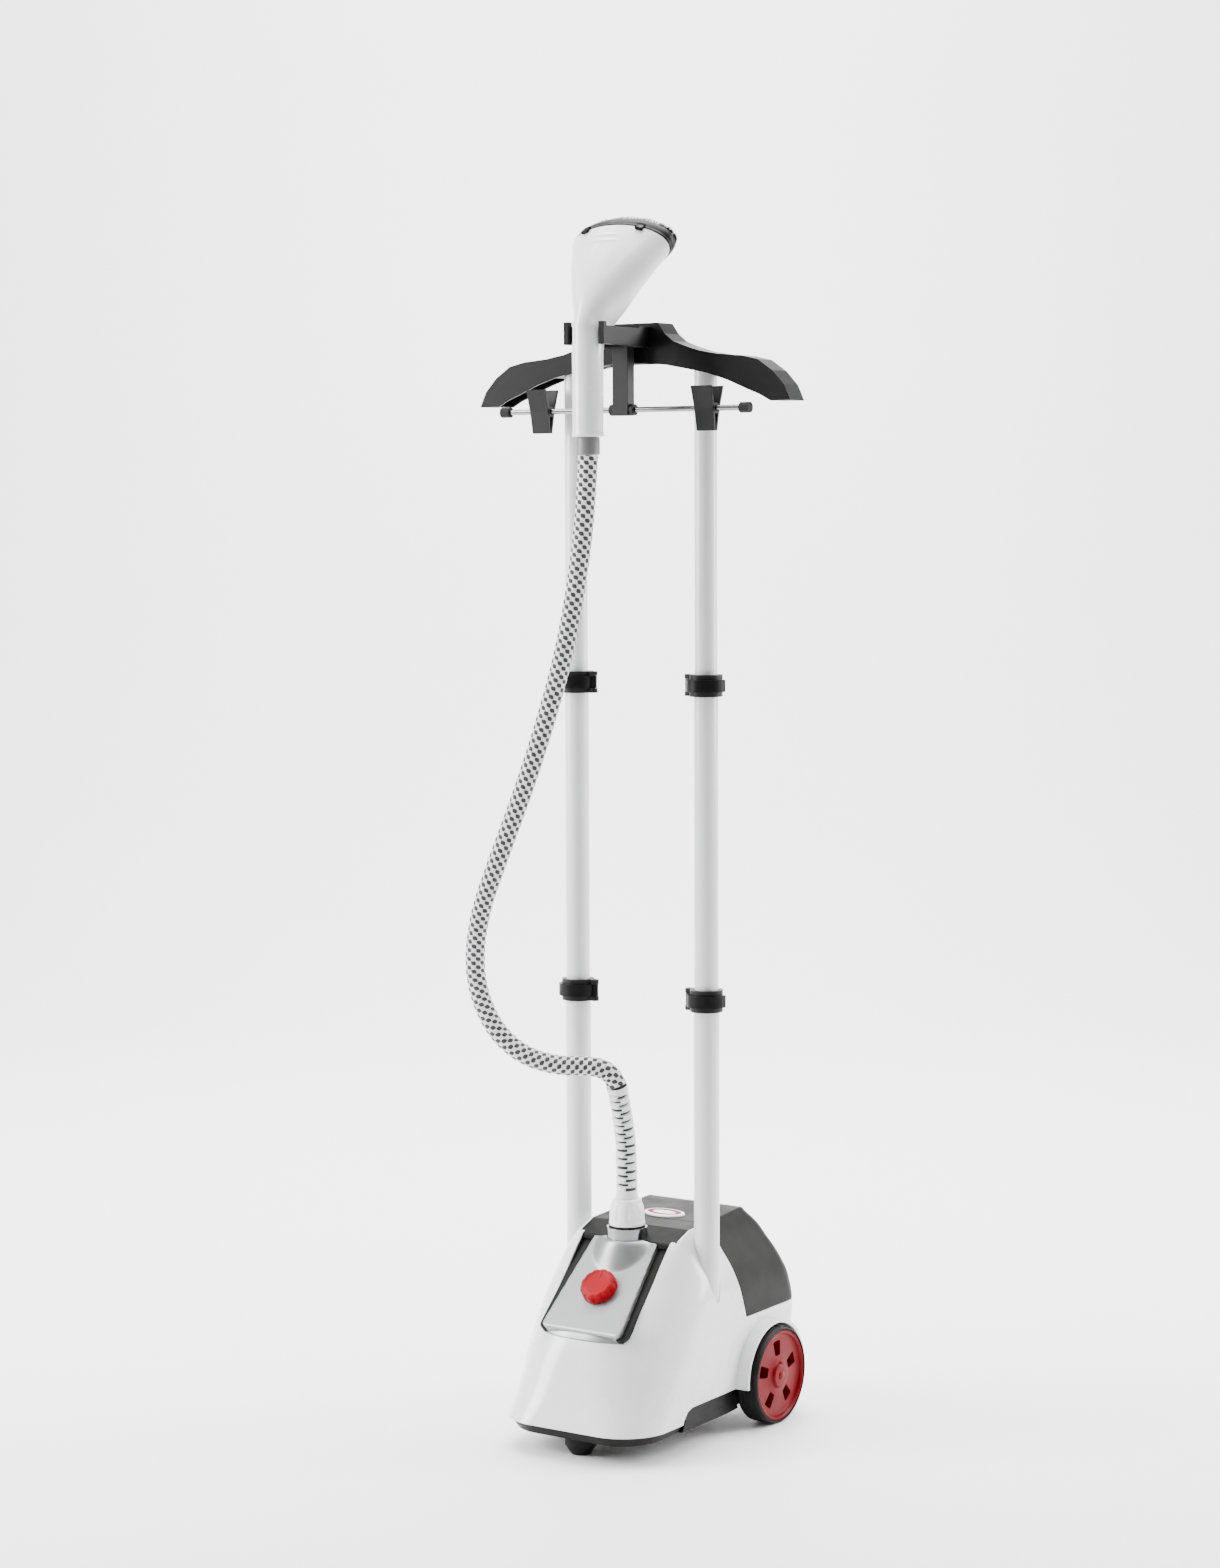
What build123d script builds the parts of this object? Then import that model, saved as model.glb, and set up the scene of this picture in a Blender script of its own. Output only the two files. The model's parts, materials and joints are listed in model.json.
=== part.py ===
from build123d import *
import os
import math

os.makedirs("parts", exist_ok=True)

# Upright garment steamer. Millimetres, +Z up, front towards -Y, origin on the
# floor under the middle of the object.

# ---------------------------------------------------------------- dimensions
# base housing: height, half width, front, rear, front corner, rear corner
SECTIONS = [
    (37, 111, -193.0, 167, 62, 38),
    (75, 114, -179.0, 184, 84, 36),
    (109, 114.5, -168.8, 190, 94, 34),
    (143, 114, -158.6, 193, 105, 32),
    (177, 112.2, -131.0, 184, 96, 30),
    (207, 105.5, -98.0, 168, 74, 28),
    (230, 95, -72.0, 155, 44, 26),
    (247, 86, -55.0, 145, 30, 24),
    (262, 74, -38.0, 132, 20, 20),
    (273, 68, -30.0, 122, 15, 16),
]
WALL = 3.0
PANEL_FOOT = (-155.0, 155.0)  # lower edge of the sloped control panel, (Y, Z)
PANEL_TOP = (-50.0, 250.2)
DECK = [(-50.0, 250.2), (-17.0, 262.5), (112.0, 269.0)]
SIDE_EDGE_Z = 55.0  # lower edge of the housing along the sides
PAN_FRONT_Z, PAN_SIDE_Z = 25.0, 41.0  # underside of the chassis pan, front and behind
TANK_FRONT = [(53.0, 143.5), (23.0, 245.0), (15.0, 280.0)]
TANK_GAP = 0.6

POLE_X, POLE_Y = 96.0, -13.0
R_LOW, R_MID, R_TOP = 16.0, 15.0, 14.0
BORE_LOW, BORE_MID, BORE_TOP = 15.08, 14.08, 13.0
Z_LOW0, Z_LOW1 = 62.0, 556.0
Z_MID0, Z_MID1 = 494.0, 947.0
Z_TOP0, Z_TOP1 = 885.0, 1346.0
Z_CLAMP_LOW, Z_CLAMP_UP = 554.0, 945.0
CLAMP_H, CLAMP_R = 27.0, 20.5
PIN_OFF = 25.5  # clamp lever pin, from the pole's axis

WHEEL_Y, WHEEL_R, WHEEL_X1, WHEEL_X0 = 99.0, 61.2, 138.0, 106.0
AXLE_R = 4.0
FOOT_Y = -153.0
BOILER_Z = 50.0

SOCKET_Y, SOCKET_R = -48.0, 25.5
KNOB_S, KNOB_R, KNOB_H = 62.0, 23.5, 13.0

HANGER_TOP = [(0, 1389), (40, 1389), (50, 1375.5), (62, 1366), (83, 1358.5), (100, 1353.5), (126, 1349),
              (160, 1346), (182, 1341), (203, 1327), (219, 1310), (228, 1291)]
HANGER_BOTTOM = [(200, 1291), (186, 1298.5), (168, 1305.5), (140, 1317), (111.6, 1326), (83, 1331.6),
                 (54, 1337), (25, 1340), (0, 1340.5)]
HANGER_Y0, HANGER_Y1 = -34.0, 0.0
BAR_Y, BAR_Z, BAR_R, BAR_HALF = -50.0, 1283.0, 3.5, 182.0
CLIP_X = 121.0

WAND_Y = -128.0
# wand head, sections from the neck to the rim: y, z, half width, half depth, tilt
HEAD = [(-128, 1352, 19.1, 19.1, 0), (-116, 1384, 20.6, 31, 8), (-103, 1410, 35, 31, 26), (-84, 1442, 52, 30.5, 43),
        (-55, 1479.6, 70, 31.5, 58)]
WAND_Z0, WAND_NECK_Z, WAND_R = 1249.0, 1384.0, 18.7
RIM_C, RIM_A, RIM_B, RIM_TILT = (0.0, -55.0, 1479.6), 70.0, 31.5, 58.0

HOSE_D = 24.0
HOSE = [
    (0, -70, 446), (-3, -72, 456), (-10, -77, 465), (-21, -84, 470), (-37, -95, 472), (-61, -113, 472),
    (-99, -135, 485), (-135, -149, 520), (-158, -154, 580), (-153, -152, 654), (-122, -150, 731),
    (-89, -142, 816), (-59, -136, 903), (-33, -131, 991), (-15, -129, 1082), (-4, -128, 1162), (0, -128, 1227),
]
HOSE_SPLIT = 10  # the hose is halved in the middle of the run that starts at this point


# ------------------------------------------------------------------- helpers
def save(shape, name):
    export_step(shape, f"parts/{name}.step")


def group(*shapes):
    return Compound(children=[s for s in shapes])


def box(x0, x1, y0, y1, z0, z1):
    return Pos((x0 + x1) / 2, (y0 + y1) / 2, (z0 + z1) / 2) * Box(x1 - x0, y1 - y0, z1 - z0)


def rod_z(x, y, z0, z1, r):
    return Pos(x, y, (z0 + z1) / 2) * Cylinder(r, z1 - z0)


def rod_x(y, z, x0, x1, r):
    return Pos((x0 + x1) / 2, y, z) * Rot(0, 90, 0) * Cylinder(r, x1 - x0)


def yz_prism(points, x0, x1):
    """a polygon given as (Y, Z) points, made solid from x0 to x1"""
    f = make_face(Polyline(*[(x0, y, z) for y, z in points], close=True))
    return extrude(f, amount=x1 - x0, dir=(1, 0, 0))


def xz_prism(points, y0, y1):
    f = make_face(Polyline(*[(x, y0, z) for x, z in points], close=True))
    return extrude(f, amount=y1 - y0, dir=(0, 1, 0))


def section(z, hw, yf, yr, rf, rr, inset=0.0):
    hw, yf, yr = hw - inset, yf + inset, yr - inset
    rf, rr = max(rf - inset, 3.0), max(rr - inset, 3.0)
    f = make_face(Polyline((-hw, yf), (hw, yf), (hw, yr), (-hw, yr), close=True))
    f = fillet([v for v in f.vertices() if v.Y < 0], rf)
    f = fillet([v for v in f.vertices() if v.Y > 90 and abs(v.X) > hw - 0.01 and v.Y > yr - 0.01], rr)
    return Pos(0, 0, z) * f


def housing(inset=0.0, drop=0.0):
    """the outer volume of the base, inset all round and lowered at the top"""
    v = loft([section(*s, inset=inset) for s in SECTIONS], ruled=True)
    slope = (PANEL_TOP[1] - PANEL_FOOT[1]) / (PANEL_TOP[0] - PANEL_FOOT[0])
    keep = [(-260, 0), (-260, PANEL_FOOT[1] - slope * (260 + PANEL_FOOT[0]) - drop * 1.35)]
    keep += [(y, z - drop) for y, z in DECK] + [(134, 262.5 - drop), (260, 262.5 - drop), (260, 0)]
    keep[2] = (DECK[0][0], DECK[0][1] - drop * 1.2)
    return v & yz_prism(keep, -150, 150)


# control panel plane: s runs up the slope, n stands off it
PU = Vector(0, PANEL_TOP[0] - PANEL_FOOT[0], PANEL_TOP[1] - PANEL_FOOT[1]).normalized()
PN = Vector(0, -PU.Z, PU.Y)
PANEL = Plane(origin=(0, PANEL_FOOT[0], PANEL_FOOT[1]), x_dir=(1, 0, 0), z_dir=PN)


def on_panel(x, s, n):
    return Vector(x, PANEL_FOOT[0], PANEL_FOOT[1]) + PU * s + PN * n


def panel_plate(w0, w1, s0, s1, n0, n1, r):
    f = make_face(Polyline((-w0, s0), (w0, s0), (w1, s1), (-w1, s1), close=True))
    f = fillet([v for v in f.vertices() if v.Y < (s0 + s1) / 2], r)
    p = Plane(origin=on_panel(0, 0, n0), x_dir=(1, 0, 0), z_dir=PN)
    return extrude(p * f, amount=n1 - n0)


def panel_rod(s, n0, n1, r):
    p = Plane(origin=on_panel(0, s, n0), x_dir=(1, 0, 0), z_dir=PN)
    return extrude(p * Circle(r), amount=n1 - n0)


def mirror_x(shape):
    return mirror(shape, about=Plane.YZ)


# -------------------------------------------------------------- base housing
OUTER = housing()
INNER = housing(WALL, WALL)
FIT = housing(WALL + 0.2, WALL + 0.2)

tank_zone = [TANK_FRONT[0], TANK_FRONT[1], TANK_FRONT[2], (260, 280), (260, TANK_FRONT[0][1])]
g = TANK_GAP
tank_cut = [(TANK_FRONT[0][0] - g, TANK_FRONT[0][1] - g), (TANK_FRONT[1][0] - g, TANK_FRONT[1][1]),
            (TANK_FRONT[2][0] - g, TANK_FRONT[2][1]), (TANK_FRONT[2][0] - g, 290), (270, 290), (270, TANK_FRONT[0][1] - g)]
TANK_CUT = yz_prism(tank_cut, -160, 160)
DECK_ZONE = yz_prism([(-46, 240.3), (-14, 251.0), (40, 253.0), (40, 320), (-46, 320)], -71.6, 71.6)
BEZEL_ZONE = panel_plate(65.2, 65.2, -3.0, 150, -13.0, 40, 11)

poles_cut = rod_z(POLE_X, POLE_Y, Z_LOW0 - 1, 330, R_LOW + 0.4) + rod_z(-POLE_X, POLE_Y, Z_LOW0 - 1, 330, R_LOW + 0.4)
socket_cut = rod_z(0, SOCKET_Y, 190, 330, SOCKET_R + 0.1)

shell = OUTER - INNER
fender = rod_x(WHEEL_Y, WHEEL_R, 97, 131, WHEEL_R + 9.5) & box(90, 140, 0, 200, SIDE_EDGE_Z, 200)
shell = shell + fender + mirror_x(fender)
well = rod_x(WHEEL_Y, WHEEL_R, 100.5, 150, WHEEL_R + 5.0)
shell = shell - well - mirror_x(well)
shell = shell - box(-130, 130, -88, 200, 0, SIDE_EDGE_Z) - TANK_CUT - DECK_ZONE - BEZEL_ZONE - poles_cut
shell = shell - rod_x(WHEEL_Y, WHEEL_R, -101, 101, AXLE_R + 2.0)
shell = max(shell.solids(), key=lambda s: s.volume)

# black chassis pan under the housing
def pan(inset, z0):
    return loft([section(z0, 100, -183.0, 158, 52, 34, inset), section(36.8, 108, -190.5, 163, 59, 36, inset),
                 section(SIDE_EDGE_Z - 0.2, 108, -181.0, 167, 66, 36, inset)], ruled=True)


PAN_FLOOR = PAN_SIDE_Z + 3.0
front_pan = pan(0, PAN_FRONT_Z) - (pan(3.0, PAN_FRONT_Z) & box(-150, 150, -250, 250, PAN_FRONT_Z + 3.0, 60))
front_pan = front_pan & box(-150, 150, -250, -88.4, 0, 60)
front_pan = front_pan - box(-150, 150, -250, -88.0, 36.6, 60)
step_wall = pan(1.0, PAN_FRONT_Z) & box(-150, 150, -91.4, -88.4, PAN_FRONT_Z, SIDE_EDGE_Z - 0.2)
rear_pan = pan(0, PAN_FRONT_Z) - (pan(3.0, PAN_FRONT_Z) & box(-150, 150, -250, 250, PAN_FLOOR, 60))
rear_pan = rear_pan & box(-150, 150, -91.4, 250, PAN_SIDE_Z, 60)
tray = front_pan + rear_pan + (step_wall & box(-104, 104, -100, -80, 0, 60))
wheel_clear = rod_x(WHEEL_Y, WHEEL_R, 95, 150, WHEEL_R + 5.5)
tray = tray - wheel_clear - mirror_x(wheel_clear)
well_wall = box(91.5, 94.5, 32, 164, PAN_SIDE_Z + 0.5, SIDE_EDGE_Z - 0.2)
bearing = box(72, 91.6, WHEEL_Y - 11, WHEEL_Y + 11, PAN_SIDE_Z + 0.5, WHEEL_R + 11)
tray = tray + well_wall + mirror_x(well_wall) + bearing + mirror_x(bearing)
boiler_post = rod_z(0, SOCKET_Y, PAN_FLOOR - 1, BOILER_Z, 20)
foot_boss = rod_z(0, FOOT_Y, PAN_FRONT_Z, PAN_FRONT_Z + 8, 23)
tray = tray + boiler_post + foot_boss - rod_x(WHEEL_Y, WHEEL_R, -100, 100, AXLE_R + 0.01)
tray = max(tray.solids(), key=lambda s: s.volume)
tray2 = tray

# charcoal deck and the surround of the control panel
deck = (OUTER - housing(3.6, 3.6)) & DECK_ZONE
surround = panel_plate(64.8, 64.8, -2.6, 142, -12.6, -6.5, 10.5)
bridge = box(-64.8, 64.8, -52, -43, 243, 262) & OUTER
cover = (deck - TANK_CUT) + surround + bridge
panel_gap = panel_plate(58.2, 47.2, -3.2, 139.2, -13.0, 0.4, 9)
panel = panel_plate(58, 47, -2.6, 139, -12.4, 0.4, 9) - panel_plate(55, 44, 0.4, 136, -13.0, -2.6, 6)
cover = cover - panel_gap - socket_cut - poles_cut - panel_rod(KNOB_S, -40, 10, 6.2)
cover = max(cover.solids(), key=lambda s: s.volume)
save(cover, "top_cover")
panel = panel - socket_cut - panel_rod(KNOB_S, -40, 10, 6.2)
save(panel, "control_panel")
shell_clear = None

# steam outlet: chrome socket, gasket
socket = rod_z(0, SOCKET_Y, 226, 265.2, SOCKET_R) - rod_z(0, SOCKET_Y, 220, 270, 10.0)
save(socket, "hose_socket")
gasket = rod_z(0, SOCKET_Y, 265.2, 266.8, 23.0) - rod_z(0, SOCKET_Y, 260, 270, 10.0)
save(gasket, "socket_gasket")

# tank bay: floor and sloping front wall inside the housing
bay = yz_prism([(48.4, 139.3), (18.4, 245.0), (21.6, 245.0), (51.9, 142.7), (260, 142.7), (260, 139.3)], -140, 140)
bay = (bay & FIT) + rod_z(0, 110, 133, 139.4, 12.0) - rod_z(0, 110, 130, 150, 4.6)
bay = max(bay.solids(), key=lambda s: s.volume)
save(bay, "tank_bay")

# boiler and plumbing
bz = BOILER_Z
boiler = rod_z(0, SOCKET_Y, bz, bz + 68, 34) + rod_z(0, SOCKET_Y, bz + 28, bz + 34, 42) - rod_z(0, SOCKET_Y, bz + 10, bz + 60, 27)
boiler = boiler - rod_z(0, SOCKET_Y, bz + 56, bz + 71, 8.0) - Pos(0, -20, bz + 50) * Rot(90, 0, 0) * Cylinder(5.0, 22)
save(boiler, "boiler")
save(rod_z(0, SOCKET_Y, bz + 58, 250, 8.0) - rod_z(0, SOCKET_Y, bz + 50, 252, 5.5), "steam_tube")
save(group(rod_z(21, SOCKET_Y, bz + 68, bz + 75, 8.5), rod_z(-21, SOCKET_Y, bz + 68, bz + 75, 8.5)), "thermostats")
feed_path = FilletPolyline((0, 110, 133), (0, 110, bz + 50), (0, -14, bz + 50), radius=20)
feed = sweep(Plane(origin=(0, 110, 133), z_dir=(0, 0, -1)) * Circle(5.0), path=feed_path)
feed_in = sweep(Plane(origin=(0, 110, 133), z_dir=(0, 0, -1)) * Circle(3.2), path=feed_path)
save(feed - feed_in, "feed_tube")

# control: rotary switch under the panel, knob with its spindle on top
switch = extrude(Plane(origin=on_panel(0, KNOB_S, -32.0), x_dir=(1, 0, 0), z_dir=PN) * Rectangle(32, 32), amount=19.3)
switch = switch - panel_rod(KNOB_S, -33, 0, 3.06)
save(switch, "rotary_switch")
knob = panel_rod(KNOB_S, 1.2, KNOB_H, KNOB_R) - panel_rod(KNOB_S, 1.0, 4.0, KNOB_R - 3)
knob = knob + panel_rod(KNOB_S, 1.2, 4.5, 8)
rib = extrude(Plane(origin=on_panel(0, KNOB_S, KNOB_H - 0.5), x_dir=(1, 0, 0), z_dir=PN) * Rectangle(4.0, 36), amount=2.5)
knob = knob + rib - panel_rod(KNOB_S, 0, 10.0, 3.0)
save(knob, "control_knob")
save(panel_rod(KNOB_S, -28, 10.0, 3.0), "knob_spindle")

gland_bore = Pos(-62, 180, 75) * Rot(90, 0, 0) * Cylinder(4.2, 60)
gland = box(-70.8, -53.2, 174, 186.2, 66.2, 83.8) + Pos(-62, 188, 75) * Rot(90, 0, 0) * Cone(9, 11.5, 4) - gland_bore
save(gland, "cord_gland")
save(shell - box(-71, -53, 160, 200, 66, 84), "main_shell")

foot = Pos(0, FOOT_Y, 6) * Cone(12, 20, 12) + rod_z(0, FOOT_Y, 11.9, PAN_FRONT_Z - 0.1, 20)
save(foot, "front_foot")
save(rod_x(WHEEL_Y, WHEEL_R, -137, 137, AXLE_R), "wheel_axle")

# cups that hold the feet of the poles
cup = (rod_z(POLE_X, POLE_Y, PAN_FLOOR + 0.1, 108, 18.6) - rod_z(POLE_X, POLE_Y, Z_LOW0, 110, R_LOW)) & (
    (pan(3.1, PAN_FRONT_Z) & box(0, 130, -60, 40, 0, SIDE_EDGE_Z)) + (FIT & box(0, 130, -60, 40, SIDE_EDGE_Z - 0.24, 120)))
cup = max(cup.solids(), key=lambda s: s.volume)
save(group(cup, mirror_x(cup)), "pole_sockets")

screws = []
for x, y, z in ((70, -115, PAN_FRONT_Z), (-70, -115, PAN_FRONT_Z), (60, 60, PAN_SIDE_Z), (-60, 60, PAN_SIDE_Z)):
    screws.append(rod_z(x, y, z, z + 17, 2.0) + rod_z(x, y, z, z + 1.8, 4.0))
    tray2 = tray2 - screws[-1]
save(group(*screws), "base_screws")
save(max(tray2.solids(), key=lambda s: s.volume), "base_tray")

# ------------------------------------------------------------- water tank
tank = OUTER & yz_prism(tank_zone, -150, 150)
inner_zone = [(56.4, 146.7), (26.3, 245.0), (18.4, 277), (257, 277), (257, 146.7)]
tank = tank - (housing(3.0, 3.2) & yz_prism(inner_zone, -150, 150))
tank = tank - rod_z(0, 110, 140, 150, 16.3)
badge_slope = math.atan2(DECK[2][1] - DECK[1][1], DECK[2][0] - DECK[1][0])


def deck_z(y):
    return DECK[1][1] + (y - DECK[1][0]) * math.tan(badge_slope)


badge = Pos(0, 39, deck_z(39) + 0.6) * Rot(math.degrees(badge_slope), 0, 0) * extrude(Ellipse(29, 17), amount=2.4, both=True)
badge = badge & box(-40, 40, 0, 90, deck_z(39) - 2.5, 300)
tank = tank - badge
save(max(tank.solids(), key=lambda s: s.volume), "water_tank")
save(badge, "badge_plate")
cap = rod_z(0, 110, 144.2, 158, 16.2) - rod_z(0, 110, 143, 155, 12.5) - rod_z(0, 110, 143, 160, 3.06)
save(cap, "tank_cap")
pin = rod_z(0, 110, 149.0, 168, 3.0) + rod_z(0, 110, 164.5, 168, 7.0)
save(pin, "valve_pin")

# ----------------------------------------------------------------- wheels
def hub():
    h = rod_x(WHEEL_Y, WHEEL_R, WHEEL_X0, WHEEL_X1 - 1.0, 56.0) - rod_x(WHEEL_Y, WHEEL_R, WHEEL_X0 - 1, WHEEL_X1, 51.0)
    h = h + rod_x(WHEEL_Y, WHEEL_R, 126.0, 131.0, 52.0)
    h = h + rod_x(WHEEL_Y, WHEEL_R, WHEEL_X0 - 3, WHEEL_X1 - 0.2, 13.0)
    for k in range(5):
        a = math.radians(20 + 72 * k)
        y, z = WHEEL_Y + 34 * math.cos(a), WHEEL_R + 34 * math.sin(a)
        w = Pos(128.5, y, z) * Rot(math.degrees(a), 0, 0) * Box(20, 15, 17)
        h = h - w
    return h - rod_x(WHEEL_Y, WHEEL_R, WHEEL_X0 - 10, 136.9, AXLE_R + 0.06)


def tyre():
    t = rod_x(WHEEL_Y, WHEEL_R, WHEEL_X0, WHEEL_X1, WHEEL_R)
    t = t - rod_x(WHEEL_Y, WHEEL_R, WHEEL_X0 - 1, WHEEL_X1 + 1, 56.0)
    return chamfer(t.edges().filter_by(GeomType.CIRCLE).sort_by(SortBy.RADIUS)[-2:], 1.6)


hub_r, tyre_r = hub(), tyre()
save(hub_r - rod_x(WHEEL_Y, WHEEL_R, 136.8, 137.02, AXLE_R + 0.06), "wheel_right_hub")
save(tyre_r, "wheel_right_tyre")
save(mirror_x(hub_r - rod_x(WHEEL_Y, WHEEL_R, 136.8, 137.02, AXLE_R + 0.06)), "wheel_left_hub")
save(mirror_x(tyre_r), "wheel_left_tyre")


# ------------------------------------------------------ telescopic poles
def tube(z0, z1, r, bore):
    return rod_z(POLE_X, POLE_Y, z0, z1, r) - rod_z(POLE_X, POLE_Y, z0 - 1, z1 + 1, bore)


def both(shape, name):
    save(shape, name + "_right")
    save(mirror_x(shape), name + "_left")


both(tube(Z_LOW0, Z_LOW1, R_LOW, BORE_LOW), "pole_lower")
both(tube(Z_MID0, Z_MID1, R_MID, BORE_MID), "pole_middle")
both(tube(Z_TOP0, Z_TOP1, R_TOP, BORE_TOP), "pole_top")


def clamp(zc, r_out, r_in, split):
    """collar on the outer tube's end, with two ears for the lever's pin"""
    c = rod_z(POLE_X, POLE_Y, zc - CLAMP_H / 2, zc + CLAMP_H / 2, CLAMP_R)
    x = POLE_X - PIN_OFF
    for z0, z1 in ((zc - CLAMP_H / 2, zc - 8.0), (zc + 8.0, zc + CLAMP_H / 2)):
        c = c + box(x, POLE_X - 15, POLE_Y - 5.0, POLE_Y + 5.0, z0, z1) + rod_z(x, POLE_Y, z0, z1, 5.0)
    c = c - rod_z(POLE_X, POLE_Y, zc - 30, split, r_out) - rod_z(POLE_X, POLE_Y, zc - 30, zc + 30, r_in)
    return c - rod_z(x, POLE_Y, zc - 30, zc + 30, 2.06)


def lever(zc):
    """over-centre lever: knuckle and pin at the inner side, curved arm round the front"""
    x = POLE_X - PIN_OFF
    arm = rod_z(POLE_X, POLE_Y, zc - 7.6, zc + 7.6, CLAMP_R + 3.9) - rod_z(POLE_X, POLE_Y, zc - 8, zc + 8, CLAMP_R + 0.6)
    arm = arm & (box(POLE_X - 40, POLE_X + 40, POLE_Y - 40, POLE_Y - 1.0, zc - 10, zc + 10))
    tab = box(POLE_X + CLAMP_R + 0.6, POLE_X + CLAMP_R + 3.9, POLE_Y - 4, POLE_Y + 6, zc - 7.6, zc + 7.6)
    knuckle = rod_z(x, POLE_Y, zc - 7.6, zc + 7.6, 4.2) - rod_z(POLE_X, POLE_Y, zc - 8, zc + 8, CLAMP_R + 0.6)
    return arm + tab + knuckle + rod_z(x, POLE_Y, zc - CLAMP_H / 2 + 0.5, zc + CLAMP_H / 2 - 0.5, 2.0)


both(clamp(Z_CLAMP_LOW, R_LOW, R_MID + 0.1, Z_LOW1), "clamp_lower")
both(clamp(Z_CLAMP_UP, R_MID, R_TOP + 0.1, Z_MID1), "clamp_upper")
both(lever(Z_CLAMP_LOW), "lever_lower")
both(lever(Z_CLAMP_UP), "lever_upper")

# ------------------------------------------------------- hanger and cradle
right = HANGER_TOP + HANGER_BOTTOM
left = [(-x, z) for x, z in reversed(HANGER_TOP + HANGER_BOTTOM)]
outline = [p for p in HANGER_TOP[1:] + HANGER_BOTTOM[:-1]]
outline = outline + [(-x, z) for x, z in reversed(outline)]
hanger = xz_prism(outline, HANGER_Y0, HANGER_Y1)
T = 3.0
core_top = [(x - (2.2 if x > 45 else 0), z - T) for x, z in HANGER_TOP[1:-1]] + [(223.5, 1294.5)]
core_low = [(205, 1294.5), (196, 1290)]
core = core_top + core_low + [(x, z - 6) for x, z in HANGER_BOTTOM[1:-1]]
core = core + [(-x, z) for x, z in reversed(core)]
hollow = xz_prism(core, HANGER_Y0 + T, HANGER_Y1 - T)
for sx in (1, -1):
    hollow = hollow - box(min(sx * 78, sx * 114), max(sx * 78, sx * 114), -40, 10, 1315, 1360)
    hollow = hollow - box(min(sx * 44, sx * 48), max(sx * 44, sx * 48), -40, 10, 1330, 1392)
hanger = hanger - hollow
hanger = hanger - rod_z(POLE_X, POLE_Y, 1300, Z_TOP1, R_TOP) - rod_z(-POLE_X, POLE_Y, 1300, Z_TOP1, R_TOP)
save(max(hanger.solids(), key=lambda s: s.volume), "hanger")

fork = box(-29, 29, -58, HANGER_Y0, 1359, 1384)
for sx in (1, -1):
    a, b = sorted((sx * 21.5, sx * 29))
    fork = fork + box(a, b, -137, -50, 1360, 1382) + box(a, b, -137, -130, 1360, 1387)
save(fork, "wand_fork")
arm = box(-11, 11, -57.5, -42.5, BAR_Z - 7, 1359) - rod_x(BAR_Y, BAR_Z, -20, 20, BAR_R)
save(arm, "bracket_arm")
save(rod_x(BAR_Y, BAR_Z, -BAR_HALF + 3, BAR_HALF - 3, BAR_R), "crossbar")
caps = []
for sx in (1, -1):
    a, b = sorted((sx * (BAR_HALF - 13), sx * BAR_HALF))
    c = rod_x(BAR_Y, BAR_Z, a, b, 6.5)
    a, b = sorted((sx * (BAR_HALF - 20), sx * (BAR_HALF - 3)))
    caps.append(c - rod_x(BAR_Y, BAR_Z, a, b, BAR_R))
collars = [rod_x(BAR_Y, BAR_Z, a, b, 7.0) - rod_x(BAR_Y, BAR_Z, -40, 40, BAR_R) for a, b in ((11, 17.5), (-17.5, -11))]
save(group(*caps, *collars), "crossbar_rings")


def clip():
    """trouser clip: the back half rides on the bar, the front half turns on it"""
    y, z = BAR_Y, BAR_Z
    back = [(y + 0.5, z - 27), (y + 4.2, z), (y + 12, z + 27), (y + 15, z + 27), (y + 7.6, z), (y + 3.6, z - 27)]
    front = [(2 * y - a, b) for a, b in back]
    taper = xz_prism([(-12.5, z - 27), (12.5, z - 27), (14.5, z + 27), (-14.5, z + 27)], -100, 0)
    b = yz_prism(back, -20, 20) & taper
    f = yz_prism(front, -20, 20) & taper
    b = b + (rod_x(y, z, -5.5, 5.5, 6.6)) - rod_x(y, z, -30, 30, BAR_R + 0.06)
    f = f + (rod_x(y, z, -13.5, -6.0, 6.6) + rod_x(y, z, 6.0, 13.5, 6.6)) - rod_x(y, z, -30, 30, BAR_R + 0.06)
    f = f - rod_x(y, z, -6.0, 6.0, 7.0)
    b = b - rod_x(y, z, -14.0, -5.5, 7.0) - rod_x(y, z, 5.5, 14.0, 7.0)
    b = max(b.solids(), key=lambda s: s.volume)
    f = max(f.solids(), key=lambda s: s.volume)
    return b, f


clip_b, clip_f = clip()
for side, sx in (("right", 1), ("left", -1)):
    save(Pos(sx * CLIP_X, 0, 0) * clip_b, f"clip_back_{side}")
    save(Pos(sx * CLIP_X, 0, 0) * clip_f, f"clip_jaw_{side}")

# ----------------------------------------------------------------- the wand
tilt = math.radians(RIM_TILT)
N = Vector(0, math.sin(tilt), math.cos(tilt))  # out of the steam face
C = Vector(*RIM_C)


def head_sections(walls):
    """from the round neck to the oval rim; walls are what is taken off each section"""
    out = []
    for t, (y, z, ra, rb, ang) in zip(walls, HEAD):
        a = math.radians(ang)
        pl = Plane(origin=(0, y, z), x_dir=(1, 0, 0), z_dir=(0, math.sin(a), math.cos(a)))
        out.append(pl * Ellipse(ra - t, rb - t - 0.01))
    return out


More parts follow.
